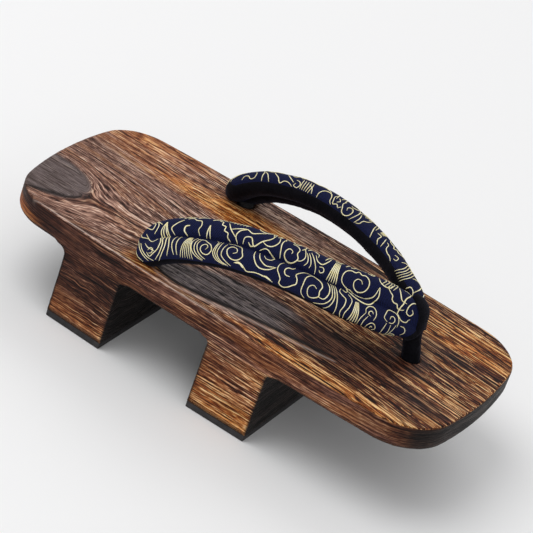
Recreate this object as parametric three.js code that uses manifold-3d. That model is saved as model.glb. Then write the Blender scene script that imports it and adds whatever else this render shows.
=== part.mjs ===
// A two-toothed geta sandal: a carved wooden block, a rubber pad under each tooth, a padded thong strap
// and the velvet thong that holds its nose.
// Millimetres. +X points to the toe, +Z up; the origin is on the ground under the middle of the sole.

import * as THREE from 'three';
import { mergeVertices } from 'three/addons/utils/BufferGeometryUtils.js';
import Module from 'manifold-3d';

const wasm = await Module();
wasm.setup();
const { Manifold, Mesh } = wasm;

// ---- Driving dimensions ----

const CLEARANCE = 0.3; // between pieces that touch

// The board seen from above: two nearly straight sides, two bowed ends and four round corners.
const BOARD_LENGTH = 270;
const BOARD_WIDTH = 125;
const SIDE_RADIUS = 2100; // the long sides bow very slightly
const WIDEST_X = 22; // where the sides are furthest apart
const ENDS = {
  toe: { sign: 1, radius: 245, corner: 30 },
  heel: { sign: -1, radius: 220, corner: 27 },
};
const SIDE_STEPS = 14;
const CORNER_STEPS = 7;
const END_STEPS = 5;

// Heights above the ground.
const FOOTBED_Z = 57.2;
const UNDERSIDE_Z = 43;
const TREAD_HEIGHT = 3.5;

// The board's edge: how far each level is drawn in from the full outline.
const BOARD_EDGE = [
  { z: UNDERSIDE_Z, inset: 2.6 },
  { z: UNDERSIDE_Z + 0.8, inset: 1.0 },
  { z: UNDERSIDE_Z + 2.6, inset: 0 },
  { z: FOOTBED_Z - 1.4, inset: 0 },
  { z: FOOTBED_Z - 0.4, inset: 0.5 },
  { z: FOOTBED_Z, inset: 1.4 },
];

// The teeth, from heel to toe, with the hollow fillets where their faces run into the board.
const TEETH = [
  { name: 'rear', back: -86.8, front: -51.2, backFillet: 5, frontFillet: 1.5 },
  { name: 'front', back: 6.2, front: 42.5, backFillet: 2.5, frontFillet: 1.5 },
];
const FILLET_STEPS = 4;

// Where the cords pass through the board.
const HOLE_RADIUS = 5;
const CORD_RADIUS = 4.4;
const RECESS_RADIUS = 7;
const RECESS_DEPTH = 4.3;
const TOE_HOLE = { x: 90, y: 0 };
const REAR_HOLE = { x: -43.4, y: 46.8 };
const ROUND_STEPS = 24;

// The knots under the board, each half sunk in its recess.
const KNOT_RADIUS = 6.4;
const KNOT_HALF_HEIGHT = 5;

// One leg of the strap, from the rear hole over the instep to the nose.
// x, y, z: its middle. tilt: degrees that its inner edge is lifted. wide, thick: half sizes across it.
// crease: depth of the valley between its two rolls, as a share of thick.
const STRAP_LEG = [
  { x: -51.8, y: 46.9, z: 56.4, tilt: 28, wide: 3.4, thick: 1.6, crease: 0.0 },
  { x: -50.9, y: 46.8, z: 58.0, tilt: 28, wide: 7.4, thick: 3.9, crease: 0.06 },
  { x: -48.9, y: 46.7, z: 60.8, tilt: 28, wide: 10.6, thick: 5.5, crease: 0.18 },
  { x: -45.6, y: 46.4, z: 64.5, tilt: 29, wide: 12.4, thick: 6.3, crease: 0.24 },
  { x: -40.6, y: 45.9, z: 69.3, tilt: 30, wide: 12.9, thick: 6.5, crease: 0.28 },
  { x: -33.5, y: 45.1, z: 74.3, tilt: 32, wide: 12.9, thick: 6.5, crease: 0.28 },
  { x: -21.5, y: 43.5, z: 80.1, tilt: 34, wide: 12.9, thick: 6.5, crease: 0.28 },
  { x: -5.0, y: 40.9, z: 85.4, tilt: 35, wide: 12.8, thick: 6.5, crease: 0.28 },
  { x: 14.0, y: 37.2, z: 87.9, tilt: 36, wide: 12.7, thick: 6.5, crease: 0.28 },
  { x: 36.0, y: 31.1, z: 87.6, tilt: 39, wide: 12.7, thick: 6.4, crease: 0.28 },
  { x: 55.0, y: 23.0, z: 85.6, tilt: 45, wide: 13.2, thick: 6.1, crease: 0.26 },
  { x: 69.0, y: 14.7, z: 83.4, tilt: 50, wide: 13.2, thick: 5.9, crease: 0.22 },
  { x: 77.5, y: 9.0, z: 81.0, tilt: 58, wide: 12.0, thick: 5.7, crease: 0.14 },
  { x: 83.0, y: 4.8, z: 77.2, tilt: 60, wide: 9.4, thick: 5.4, crease: 0.06 },
  { x: 86.0, y: 2.0, z: 71.8, tilt: 50, wide: 6.2, thick: 4.8, crease: 0.0 },
];
const STEPS_PER_ROW = 3;
const SECTION_POINTS = 20;
const CREASE_REACH = 3; // how far the valley spreads to each side
const UNDER_CREASE = 0.55; // the valley below, as a share of the one above

// The toe thong: a round cord out of its hole that flattens into a band over the nose.
// x, z: its middle. wide: half size across the sandal. thick: half size along its bend.
const TOE_THONG = [
  { x: 90.0, z: UNDERSIDE_Z + RECESS_DEPTH, wide: 4.4, thick: 4.4 },
  { x: 90.0, z: 56.0, wide: 4.4, thick: 4.4 },
  { x: 88.6, z: 62.0, wide: 4.4, thick: 4.4 },
  { x: 86.6, z: 68.0, wide: 4.3, thick: 4.2 },
  { x: 87.2, z: 73.0, wide: 4.4, thick: 2.6 },
  { x: 88.1, z: 78.5, wide: 4.4, thick: 1.6 },
  { x: 87.4, z: 84.0, wide: 4.2, thick: 1.5 },
  { x: 84.0, z: 88.2, wide: 3.8, thick: 1.4 },
  { x: 79.0, z: 90.3, wide: 3.0, thick: 1.2 },
];
const THONG_POINTS = 16;

const MATERIALS = {
  wood: new THREE.MeshStandardMaterial({ color: 0x6b4630, roughness: 0.7, metalness: 0 }),
  rubber: new THREE.MeshStandardMaterial({ color: 0x1d1c1d, roughness: 0.85, metalness: 0 }),
  brocade: new THREE.MeshStandardMaterial({ color: 0x161d40, roughness: 0.8, metalness: 0 }),
  velvet: new THREE.MeshStandardMaterial({ color: 0x121114, roughness: 1, metalness: 0 }),
  cord: new THREE.MeshStandardMaterial({ color: 0x1a1a1c, roughness: 0.9, metalness: 0 }),
};

// ---- Solids ----

function toSolid(geometry) {
  geometry.deleteAttribute('normal');
  geometry.deleteAttribute('uv');
  const merged = mergeVertices(geometry);
  return new Manifold(new Mesh({
    numProp: 3,
    vertProperties: new Float32Array(merged.attributes.position.array),
    triVerts: new Uint32Array(merged.index.array),
  }));
}

function toMesh(name, solid, material) {
  const { vertProperties, triVerts } = solid.getMesh();
  const geometry = new THREE.BufferGeometry();
  geometry.setAttribute('position', new THREE.BufferAttribute(vertProperties, 3));
  geometry.setIndex(new THREE.BufferAttribute(triVerts, 1));
  geometry.computeVertexNormals();
  const mesh = new THREE.Mesh(geometry, material);
  mesh.name = name;
  return mesh;
}

// A closed skin through rings of points that all have the same number of points, each closed by a fan
// about its middle. Rings turn anticlockwise seen from the end that they run towards.
function loft(rings) {
  const count = rings[0].length;
  const positions = rings.flat();
  const faces = [];
  for (let ring = 0; ring < rings.length - 1; ring += 1) {
    for (let point = 0; point < count; point += 1) {
      const next = (point + 1) % count;
      const a = ring * count + point;
      const b = ring * count + next;
      faces.push(a, b, b + count, a, b + count, a + count);
    }
  }
  for (const last of [false, true]) {
    const start = last ? (rings.length - 1) * count : 0;
    const middle = new THREE.Vector3();
    for (const point of rings[last ? rings.length - 1 : 0]) {
      middle.addScaledVector(point, 1 / count);
    }
    positions.push(middle);
    for (let point = 0; point < count; point += 1) {
      const next = start + (point + 1) % count;
      const edge = last ? [start + point, next] : [next, start + point];
      faces.push(...edge, positions.length - 1);
    }
  }
  const geometry = new THREE.BufferGeometry().setFromPoints(positions);
  geometry.setIndex(faces);
  return toSolid(geometry);
}

function postSolid(x, y, radius, bottom, top) {
  const geometry = new THREE.CylinderGeometry(radius, radius, top - bottom, ROUND_STEPS);
  geometry.rotateX(Math.PI / 2);
  geometry.translate(x, y, (top + bottom) / 2);
  return toSolid(geometry);
}

// ---- The board's outline ----

// The middle of a corner's arc, which touches the side's arc and the end's arc from inside.
function cornerCentre(end, sideCentre, endCentre) {
  const reach = SIDE_RADIUS - end.corner;
  const endReach = end.radius - end.corner;
  const along = endCentre.clone().sub(sideCentre);
  const distance = along.length();
  along.divideScalar(distance);
  const foot = (reach ** 2 - endReach ** 2 + distance ** 2) / (2 * distance);
  const offset = Math.sqrt(reach ** 2 - foot ** 2);
  const across = new THREE.Vector2(along.y, -along.x).multiplyScalar(end.sign * offset);
  return sideCentre.clone().addScaledVector(along, foot).add(across);
}

function arc(centre, radius, from, to, steps) {
  const points = [];
  for (let step = 0; step < steps; step += 1) {
    const angle = from + (to - from) * step / steps;
    points.push(new THREE.Vector2(Math.cos(angle), Math.sin(angle)).multiplyScalar(radius).add(centre));
  }
  return points;
}

// The half outline with y above zero, from the toe's middle round to the heel's middle, then mirrored.
function boardOutline(inset) {
  const sideCentre = new THREE.Vector2(WIDEST_X, BOARD_WIDTH / 2 - SIDE_RADIUS);
  const corners = {};
  for (const [name, end] of Object.entries(ENDS)) {
    const endCentre = new THREE.Vector2(end.sign * (BOARD_LENGTH / 2 - end.radius), 0);
    const centre = cornerCentre(end, sideCentre, endCentre);
    corners[name] = {
      end,
      endCentre,
      centre,
      onSide: centre.clone().sub(sideCentre).angle(),
      onEnd: centre.clone().sub(endCentre).angle(),
    };
  }
  const { toe, heel } = corners;
  const half = [
    ...arc(toe.endCentre, toe.end.radius - inset, 0, toe.onEnd, END_STEPS),
    ...arc(toe.centre, toe.end.corner - inset, toe.onEnd, toe.onSide, CORNER_STEPS),
    ...arc(sideCentre, SIDE_RADIUS - inset, toe.onSide, heel.onSide, SIDE_STEPS),
    ...arc(heel.centre, heel.end.corner - inset, heel.onSide, heel.onEnd, CORNER_STEPS),
    ...arc(heel.endCentre, heel.end.radius - inset, heel.onEnd, Math.PI, END_STEPS),
  ];
  const heelTip = new THREE.Vector2(inset - BOARD_LENGTH / 2, 0);
  const mirrored = half.slice(1).reverse().map((point) => new THREE.Vector2(point.x, -point.y));
  return [...half, heelTip, ...mirrored];
}

function boardSlab(levels) {
  return loft(levels.map(({ z, inset }) => boardOutline(inset).map((p) => new THREE.Vector3(p.x, p.y, z))));
}

// ---- The carved block and its pads ----

// A tooth seen from the side, with its two hollow fillets, drawn right across the board.
function toothBar(tooth) {
  const rootZ = UNDERSIDE_Z + 3;
  const footZ = TREAD_HEIGHT + CLEARANCE;
  const profile = new THREE.Shape();
  profile.moveTo(tooth.back, footZ);
  profile.lineTo(tooth.front, footZ);
  const frontCentre = { x: tooth.front + tooth.frontFillet, z: UNDERSIDE_Z - tooth.frontFillet };
  profile.absarc(frontCentre.x, frontCentre.z, tooth.frontFillet, Math.PI, Math.PI / 2, true);
  profile.lineTo(frontCentre.x, rootZ);
  const backCentre = { x: tooth.back - tooth.backFillet, z: UNDERSIDE_Z - tooth.backFillet };
  profile.lineTo(backCentre.x, rootZ);
  profile.absarc(backCentre.x, backCentre.z, tooth.backFillet, Math.PI / 2, 0, true);
  const settings = { depth: BOARD_WIDTH + 10, bevelEnabled: false, curveSegments: FILLET_STEPS };
  const geometry = new THREE.ExtrudeGeometry(profile, settings);
  geometry.rotateX(Math.PI / 2);
  geometry.translate(0, settings.depth / 2, 0);
  return toSolid(geometry);
}

function soleBlock() {
  let block = boardSlab(BOARD_EDGE);
  const teethLimit = boardSlab([{ z: 0, inset: 0 }, { z: UNDERSIDE_Z + 3, inset: 0 }]);
  for (const tooth of TEETH) {
    block = block.add(toothBar(tooth).intersect(teethLimit));
  }
  for (const [x, y] of cordHoles()) {
    block = block.subtract(postSolid(x, y, HOLE_RADIUS, 0, FOOTBED_Z + 5));
    block = block.subtract(postSolid(x, y, RECESS_RADIUS, 0, UNDERSIDE_Z + RECESS_DEPTH));
  }
  return block;
}

function treadPad(tooth) {
  const length = tooth.front - tooth.back;
  const box = new THREE.BoxGeometry(length, BOARD_WIDTH + 10, TREAD_HEIGHT);
  box.translate(tooth.back + length / 2, 0, TREAD_HEIGHT / 2);
  return toSolid(box).intersect(boardSlab([{ z: -1, inset: 0 }, { z: TREAD_HEIGHT + 1, inset: 0 }]));
}

function cordHoles() {
  return [[TOE_HOLE.x, TOE_HOLE.y], [REAR_HOLE.x, REAR_HOLE.y], [REAR_HOLE.x, -REAR_HOLE.y]];
}

// ---- The strap ----

// The strap's cross-section: a flat oval with round edges, creased along its middle into two rolls.
function strapSection(wide, thick, crease) {
  const points = [];
  for (let step = 0; step < SECTION_POINTS; step += 1) {
    const angle = 2 * Math.PI * step / SECTION_POINTS;
    const cos = Math.cos(angle);
    const x = wide * Math.sign(cos) * Math.abs(cos) ** 0.82;
    const pastFlat = Math.max(0, (Math.abs(x) - (wide - thick)) / thick);
    const dome = Math.sqrt(Math.max(0, 1 - pastFlat ** 2));
    const above = Math.sin(angle) > 0;
    const valley = crease * (above ? 1 : UNDER_CREASE) * Math.exp(-((x / CREASE_REACH) ** 2));
    points.push([x, (above ? 1 : -1) * thick * dome * (1 - valley)]);
  }
  return points;
}

// One leg as a skin over sections that stand across its middle line; side is 1 or -1 in y.
function strapLeg(side) {
  const middle = STRAP_LEG.map((row) => new THREE.Vector3(row.x, row.y * side, row.z));
  const path = new THREE.CatmullRomCurve3(middle, false, 'centripetal');
  const steps = (STRAP_LEG.length - 1) * STEPS_PER_ROW;
  const up = new THREE.Vector3(0, 0, 1);
  const rings = [];
  for (let step = 0; step <= steps; step += 1) {
    const row = Math.min(Math.floor(step / STEPS_PER_ROW), STRAP_LEG.length - 2);
    const share = step / STEPS_PER_ROW - row;
    const mix = (key) => THREE.MathUtils.lerp(STRAP_LEG[row][key], STRAP_LEG[row + 1][key], share);
    const forward = path.getTangent(step / steps);
    const inward = new THREE.Vector3().crossVectors(up, forward).normalize().multiplyScalar(-side);
    const outward = new THREE.Vector3().crossVectors(forward, inward).multiplyScalar(-side);
    const tilt = THREE.MathUtils.degToRad(mix('tilt'));
    const across = inward.clone().multiplyScalar(Math.cos(tilt)).addScaledVector(outward, Math.sin(tilt));
    const face = inward.clone().multiplyScalar(-Math.sin(tilt)).addScaledVector(outward, Math.cos(tilt));
    const centre = path.getPoint(step / steps);
    const section = strapSection(mix('wide'), mix('thick'), mix('crease'));
    const ring = section.map(([x, y]) => centre.clone().addScaledVector(across, x).addScaledVector(face, y));
    rings.push(side > 0 ? ring.reverse() : ring);
  }
  return loft(rings);
}

// The thong's skin; grow widens it all round, to cut its bed into the strap's nose.
function toeThong(grow) {
  const middle = TOE_THONG.map((row) => new THREE.Vector3(row.x, 0, row.z));
  const path = new THREE.CatmullRomCurve3(middle, false, 'centripetal');
  const steps = (TOE_THONG.length - 1) * STEPS_PER_ROW;
  const across = new THREE.Vector3(0, 1, 0);
  const rings = [];
  for (let step = 0; step <= steps; step += 1) {
    const row = Math.min(Math.floor(step / STEPS_PER_ROW), TOE_THONG.length - 2);
    const share = step / STEPS_PER_ROW - row;
    const mix = (key) => THREE.MathUtils.lerp(TOE_THONG[row][key], TOE_THONG[row + 1][key], share);
    const forward = path.getTangent(step / steps);
    const normal = new THREE.Vector3().crossVectors(forward, across);
    const ends = step === 0 ? -grow : grow;
    const centre = path.getPoint(step / steps);
    if (step === 0 || step === steps) {
      centre.addScaledVector(forward, ends);
    }
    const ring = [];
    for (let point = 0; point < THONG_POINTS; point += 1) {
      const angle = 2 * Math.PI * point / THONG_POINTS;
      ring.push(centre.clone()
        .addScaledVector(across, (mix('wide') + grow) * Math.cos(angle))
        .addScaledVector(normal, (mix('thick') + grow) * Math.sin(angle)));
    }
    rings.push(ring);
  }
  return loft(rings);
}

// Both legs joined at the nose, trimmed where they lie on the board, with the cord that runs down each hole.
function strap() {
  const aboveBoard = boardSlab([{ z: FOOTBED_Z + CLEARANCE, inset: 0 }, { z: FOOTBED_Z + 60, inset: 0 }]);
  let body = strapLeg(1).add(strapLeg(-1)).intersect(aboveBoard);
  for (const side of [1, -1]) {
    const cord = postSolid(REAR_HOLE.x, side * REAR_HOLE.y, CORD_RADIUS, UNDERSIDE_Z + RECESS_DEPTH, FOOTBED_Z + 3);
    body = body.add(cord);
  }
  return body.subtract(toeThong(CLEARANCE));
}

function knot(x, y) {
  const geometry = new THREE.SphereGeometry(1, ROUND_STEPS, ROUND_STEPS / 2);
  geometry.rotateX(Math.PI / 2);
  geometry.scale(KNOT_RADIUS, KNOT_RADIUS, KNOT_HALF_HEIGHT);
  geometry.translate(x, y, UNDERSIDE_Z + RECESS_DEPTH - CLEARANCE - KNOT_HALF_HEIGHT);
  return toSolid(geometry);
}

// ---- The sandal ----

const sandal = new THREE.Group();
sandal.add(toMesh('sole_block', soleBlock(), MATERIALS.wood));
for (const tooth of TEETH) {
  sandal.add(toMesh(`tread_pad_${tooth.name}`, treadPad(tooth), MATERIALS.rubber));
}
sandal.add(toMesh('strap', strap(), MATERIALS.brocade));
sandal.add(toMesh('toe_thong', toeThong(0), MATERIALS.velvet));
const knotNames = ['knot_front', 'knot_rear_left', 'knot_rear_right'];
cordHoles().forEach(([x, y], index) => {
  sandal.add(toMesh(knotNames[index], knot(x, y), MATERIALS.cord));
});

export default sandal;
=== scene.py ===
# %% [markdown]
# # A two-toothed geta sandal
# A geta is one carved block of wood with two teeth under it. A padded strap, the hanao, runs from two
# rear holes to a velvet thong between the toes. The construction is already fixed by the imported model:
# this script only gives each part its real surface. Everything is in metres in the model's own frame,
# with +X at the toe, +Z up and the floor at zero.

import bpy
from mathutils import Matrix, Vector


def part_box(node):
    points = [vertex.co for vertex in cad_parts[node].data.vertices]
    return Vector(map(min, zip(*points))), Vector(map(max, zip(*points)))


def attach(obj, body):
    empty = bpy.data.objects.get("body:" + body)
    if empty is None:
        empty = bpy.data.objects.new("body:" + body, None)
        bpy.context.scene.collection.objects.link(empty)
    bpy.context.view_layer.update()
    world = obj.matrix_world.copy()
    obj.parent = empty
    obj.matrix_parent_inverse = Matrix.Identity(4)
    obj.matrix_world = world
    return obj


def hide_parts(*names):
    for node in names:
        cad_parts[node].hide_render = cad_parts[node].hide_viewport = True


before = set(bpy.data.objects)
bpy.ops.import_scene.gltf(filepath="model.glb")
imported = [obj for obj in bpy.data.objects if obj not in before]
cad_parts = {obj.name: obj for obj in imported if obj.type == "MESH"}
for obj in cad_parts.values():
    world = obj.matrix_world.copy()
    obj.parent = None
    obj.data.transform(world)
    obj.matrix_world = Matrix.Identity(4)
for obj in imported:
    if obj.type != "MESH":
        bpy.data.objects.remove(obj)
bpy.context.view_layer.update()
print("packed nodes:", sorted(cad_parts))

# %% Tools and units
from itertools import product
from math import atan2, pi, radians

import bmesh
import bpy
import numpy as np
from mathutils import Matrix, Vector

MM = 0.001
WELD = 0.002 * MM  # points of two grids this close are one point


def say(piece):
    """Prints how big a finished piece is."""
    size = [round(side / MM, 1) for side in piece.dimensions]
    print(f"{piece.name}: {len(piece.data.polygons)} faces, {size} mm")


# %% [markdown]
# ## Camera
# A product shot is taken with a long lens from far away, so that parallel edges stay nearly parallel.
# The camera is described by how far round it stands, how high, how far it is tipped on its side, and
# what it aims at. Three turns in a row give its orientation, because that can be read back more easily
# than a matrix of nine numbers.

# %% Camera
AZIMUTH = radians(21.15)
ELEVATION = radians(30.81)
ROLL = radians(19.94)
DISTANCE = 1.4768
AIM = Vector((-0.00627, 0.01142, 0.05166))

lens = bpy.data.cameras.new("camera")
lens.lens = 188.8
lens.sensor_width = 36
camera = bpy.data.objects.new("camera", lens)
bpy.context.collection.objects.link(camera)
turn = Matrix.Rotation(AZIMUTH, 4, "Z") @ Matrix.Rotation(pi / 2 - ELEVATION, 4, "X")
turn = turn @ Matrix.Rotation(ROLL, 4, "Z")
camera.matrix_world = Matrix.Translation(AIM + turn.to_3x3() @ Vector((0, 0, DISTANCE))) @ turn
bpy.context.scene.camera = camera
print("camera stands at", [round(v, 3) for v in camera.matrix_world.translation])

# %% [markdown]
# ## Colour
# Colours are picked as they look on a screen, in sRGB hex, but light is added up in linear values.
# One function does that conversion. The Standard view transform then shows a white floor as white;
# the filmic ones would grey it.


# %% Colour conversion and display
def linear(code):
    """An sRGB hex code as linear red, green, blue and alpha: v/12.92 when v is dark, and otherwise
    ((v + 0.055)/1.055)^2.4."""
    shown = np.array([int(code[i:i + 2], 16) for i in (1, 3, 5)]) / 255
    value = np.where(shown <= 0.04045, shown / 12.92, ((shown + 0.055) / 1.055) ** 2.4)
    return (*value.tolist(), 1.0)


bpy.context.scene.view_settings.view_transform = "Standard"


# %% [markdown]
# ## One function for every node
# A shader tree is a list of nodes with settings, and sockets that hold a value or a link. Written out
# that is three or four lines a node, so one small function adds a node, sets its properties and fills
# or links its sockets. A colour ramp's stops go in the same way.


# %% Add a node
def add(tree, kind, inputs=None, stops=None, **settings):
    """Adds one node. settings are its properties; inputs are sockets by name or number, each a value or
    an output to link; stops are a colour ramp's (place, hex) pairs."""
    node = tree.nodes.new("ShaderNode" + kind)
    for key, value in settings.items():
        setattr(node, key, value)
    for key, value in (inputs or {}).items():
        if isinstance(value, bpy.types.NodeSocket):
            tree.links.new(value, node.inputs[key])
        else:
            node.inputs[key].default_value = value
    if stops:
        elements = node.color_ramp.elements
        for place, _ in stops[len(elements):]:
            elements.new(place)
        for element, (place, code) in zip(elements, stops):
            element.position = place
            element.color = linear(code)
    return node


def new_material(name):
    """An empty node material and its tree."""
    material = bpy.data.materials.new(name)
    material.use_nodes = True
    material.node_tree.nodes.clear()
    return material, material.node_tree


# %% [markdown]
# ## Floor and light
# The sandal stands on a plain pale floor. Goods for sale are usually lit with one broad soft box from
# above, here on the heel side, and a weaker one on each long side, in a pale room. The floor is big
# enough to fill the view from every side.

# %% Floor
FLOOR_HALF, FLOOR_LINES = 4.0, 9
edge = np.linspace(-FLOOR_HALF, FLOOR_HALF, FLOOR_LINES)
floor_x, floor_y = np.meshgrid(edge, edge, indexing="ij")
floor_points = np.stack([floor_x, floor_y, np.zeros_like(floor_x)], axis=-1).reshape(-1, 3)


def grid_faces(rows, columns, wrap=False):
    """The quads of a grid of rows x columns points; wrap joins the last column to the first."""
    index = np.arange(rows * columns).reshape(rows, columns)
    if wrap:
        index = np.concatenate([index, index[:, :1]], axis=1)
    corners = [index[:-1, :-1], index[1:, :-1], index[1:, 1:], index[:-1, 1:]]
    return np.stack(corners, axis=-1).reshape(-1, 4)


floor_mesh = bpy.data.meshes.new("floor")
floor_mesh.from_pydata(floor_points.tolist(), [], grid_faces(FLOOR_LINES, FLOOR_LINES).tolist())
floor = bpy.data.objects.new("floor", floor_mesh)
bpy.context.collection.objects.link(floor)
floor_paint, tree = new_material("matt_white_floor_paint")
shader = add(tree, "BsdfPrincipled", {
    "Base Color": linear("#f4f4f4"), "Roughness": 0.9, "Specular IOR Level": 0.1,
})
add(tree, "OutputMaterial", {"Surface": shader.outputs[0]})
floor_mesh.materials.append(floor_paint)

# %% Lights
# name: place and size in metres, power in watts
LIGHTS = {
    "key_softbox": ((-0.9, -0.6, 2.0), 1.9, 21),
    "back_softbox": ((-0.3, 1.7, 1.7), 1.8, 11),
    "front_fill": ((1.1, -2.1, 1.1), 1.9, 8),
}
for name, (place, size, power) in LIGHTS.items():
    lamp = bpy.data.lights.new(name, "AREA")
    lamp.shape = "DISK"
    lamp.size = size
    lamp.energy = power
    holder = bpy.data.objects.new(name, lamp)
    bpy.context.collection.objects.link(holder)
    holder.location = place
    holder.rotation_euler = (Vector(place) - AIM).to_track_quat("Z", "Y").to_euler()

room = bpy.data.worlds.new("pale_room")
room.use_nodes = True
room.node_tree.nodes["Background"].inputs["Color"].default_value = linear("#f7f7f8")
room.node_tree.nodes["Background"].inputs["Strength"].default_value = 0.58
bpy.context.scene.world = room
print("lights:", list(LIGHTS))


# %% [markdown]
# ## From arrays to a mesh
# Each new piece is worked out as arrays of points on grids. Where two grids share a border, their points
# coincide, and welding them makes one closed skin. Blender's own weld also turns the quads at a pole
# into triangles. Recalculating the normals afterwards makes every face look outwards.


# %% Build a piece from grids
def store(mesh, name, values):
    """Keeps a number or a vector at each point under a name that a material can read."""
    kind, field = ("FLOAT_VECTOR", "vector") if values.ndim == 2 else ("FLOAT", "value")
    mesh.attributes.new(name, kind, "POINT").data.foreach_set(field, values.astype(np.float32).ravel())


def build(name, grids, extra=(), body="root"):
    """Makes one closed mesh from grids of points in mm, each (rows, columns, 3) or (grid, True) when its
    columns wrap round. Shared borders are welded. Columns after x, y, z are kept as named attributes."""
    points, faces, count = [], [], 0
    for grid in grids:
        grid, wrap = grid if isinstance(grid, tuple) else (grid, False)
        faces.append(grid_faces(*grid.shape[:2], wrap) + count)
        points.append(grid.reshape(-1, 3 + len(extra)))
        count += len(points[-1])
    points = np.concatenate(points)
    mesh = bpy.data.meshes.new(name)
    mesh.from_pydata((points[:, :3] * MM).tolist(), [], np.concatenate(faces).tolist())
    for column, label in enumerate(extra, 3):
        store(mesh, label, points[:, column])
    work = bmesh.new()
    work.from_mesh(mesh)
    bmesh.ops.remove_doubles(work, verts=work.verts, dist=WELD)
    bmesh.ops.recalc_face_normals(work, faces=work.faces)
    work.to_mesh(mesh)
    work.free()
    mesh.shade_smooth()
    piece = bpy.data.objects.new(name, mesh)
    bpy.context.collection.objects.link(piece)
    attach(piece, body)
    return piece


def read_points(mesh, what="co"):
    """The mesh's points in mm, or its vertex normals, as an array."""
    values = np.empty(len(mesh.vertices) * 3)
    if what == "co":
        mesh.vertices.foreach_get("co", values)
        return values.reshape(-1, 3) / MM
    mesh.vertex_normals.foreach_get("vector", values)
    return values.reshape(-1, 3)


def move_points(mesh, points):
    """Puts the mesh's points, in mm, where the array says."""
    mesh.vertices.foreach_set("co", (points * MM).ravel())
    mesh.update()


# %% [markdown]
# ## Lattice noise
# Wood, padding and velvet are all a little uneven. A table of random numbers at the corners of a
# lattice, blended smoothly between them, gives unevenness of any size. Making the cells long in one
# direction stretches it into grain.


# %% Lattice noise
TABLE_SIDE = 32  # the pattern repeats after this many cells
AWAY_FROM_ZERO = 1000  # cells, so that no place is negative


def lattice(points, cell, seed):
    """Smooth random values from -1 to 1: each point blends the eight corners of its lattice cell by
    3t^2-2t^3 along each axis. cell is the cell's size along x, y and z."""
    table = np.random.default_rng(seed).uniform(-1, 1, (TABLE_SIDE,) * 3)
    place = points / np.asarray(cell, float) + AWAY_FROM_ZERO
    low = np.floor(place).astype(int)
    share = place - low
    share = share * share * (3 - 2 * share)
    low = low % TABLE_SIDE
    high = (low + 1) % TABLE_SIDE
    total = 0
    for takes in product((0, 1), repeat=3):
        corner = tuple((high if take else low)[..., axis] for axis, take in enumerate(takes))
        weight = 1
        for axis, take in enumerate(takes):
            weight = weight * (share[..., axis] if take else 1 - share[..., axis])
        total = total + weight * table[corner]
    return total


def bell(value, middle, reach):
    """1 at the middle, falling off smoothly as exp(-(distance/reach)^2)."""
    return np.exp(-(((value - middle) / reach) ** 2))


def ramp(value, start, end):
    """0 before start, 1 after end, and 3t^2-2t^3 between them."""
    share = np.clip((value - start) / (end - start), 0, 1)
    return share * share * (3 - 2 * share)


# %% [markdown]
# ## The carved block
# A maker saws the board and its two teeth out of one piece of paulownia, so the grain runs unbroken
# through them. Seen from above, its outline is eight arcs: two long sides, two bowed ends and four
# corners. A box with a bevel couldn't follow that, so the block is a skin of grids that share borders:
# footbed, wall, underside, tooth faces, tooth sides and tooth bottoms.

# %% The block's sizes in millimetres
board_low, board_high = (np.array(corner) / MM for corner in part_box("sole_block"))
LENGTH = board_high[0] - board_low[0]
WIDTH = 125.0
SIDE_RADIUS = 2100.0
WIDEST_X = 22.0
TOE_RADIUS, TOE_CORNER = 245.0, 30.0
HEEL_RADIUS, HEEL_CORNER = 220.0, 27.0
FOOTBED_Z = board_high[2]
UNDERSIDE_Z = 43.0
WALL_MIDDLE_Z = 50.0
TOOTH_FOOT_Z = board_low[2]
print("block", round(LENGTH, 1), "mm long, footbed at", round(FOOTBED_Z, 1), "mm")

# The board's edge from the footbed down: how far each level is drawn in from the outline.
EDGE_Z = np.array([
    57.2, 57.15, 57.0, 56.7, 56.3, 55.8, 53.5, 51.2, 48.9, 46.6, 45.2, 44.2, 43.5, 43.1, 43.0,
])
EDGE_INSET = np.array([1.5, 1.0, 0.55, 0.25, 0.08, 0, 0, 0, 0, 0, 0.1, 0.45, 1.1, 1.8, 2.6])

# name: x of the back and front face, then the radius of the hollow fillets behind and before it
TEETH = {
    "rear": (-86.8, -51.2, 5.0, 1.5),
    "front": (6.2, 42.5, 2.5, 1.5),
}


def half_width(x):
    """Half the board's width where its side is at x, from the side's long arc."""
    return WIDTH / 2 - SIDE_RADIUS + np.sqrt(SIDE_RADIUS ** 2 - (x - WIDEST_X) ** 2)


# %% [markdown]
# The outline is sampled once, finely, as arcs: each point keeps its place and its outward direction, so
# an inset outline is the same points moved inwards. Any place along it is then a lookup by distance.

# %% The outline as arcs
def corner_centre(sign, radius, corner):
    """The middle of a corner's arc: it is SIDE_RADIUS - corner from the side's middle and radius - corner
    from the end's middle, so it is where those two circles cross."""
    side = np.array([WIDEST_X, WIDTH / 2 - SIDE_RADIUS])
    end = np.array([sign * (LENGTH / 2 - radius), 0.0])
    gap = np.linalg.norm(end - side)
    along = (end - side) / gap
    foot = ((SIDE_RADIUS - corner) ** 2 - (radius - corner) ** 2 + gap ** 2) / (2 * gap)
    offset = np.sqrt((SIDE_RADIUS - corner) ** 2 - foot ** 2)
    centre = side + along * foot + np.array([along[1], -along[0]]) * sign * offset
    return side, end, centre


ARC_STEPS, SIDE_STEPS = 600, 3000
TOE_CORNER_PART = slice(ARC_STEPS, 2 * ARC_STEPS)
SIDE_PART = slice(TOE_CORNER_PART.stop, TOE_CORNER_PART.stop + SIDE_STEPS)
HEEL_CORNER_PART = slice(SIDE_PART.stop, SIDE_PART.stop + ARC_STEPS)


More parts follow.
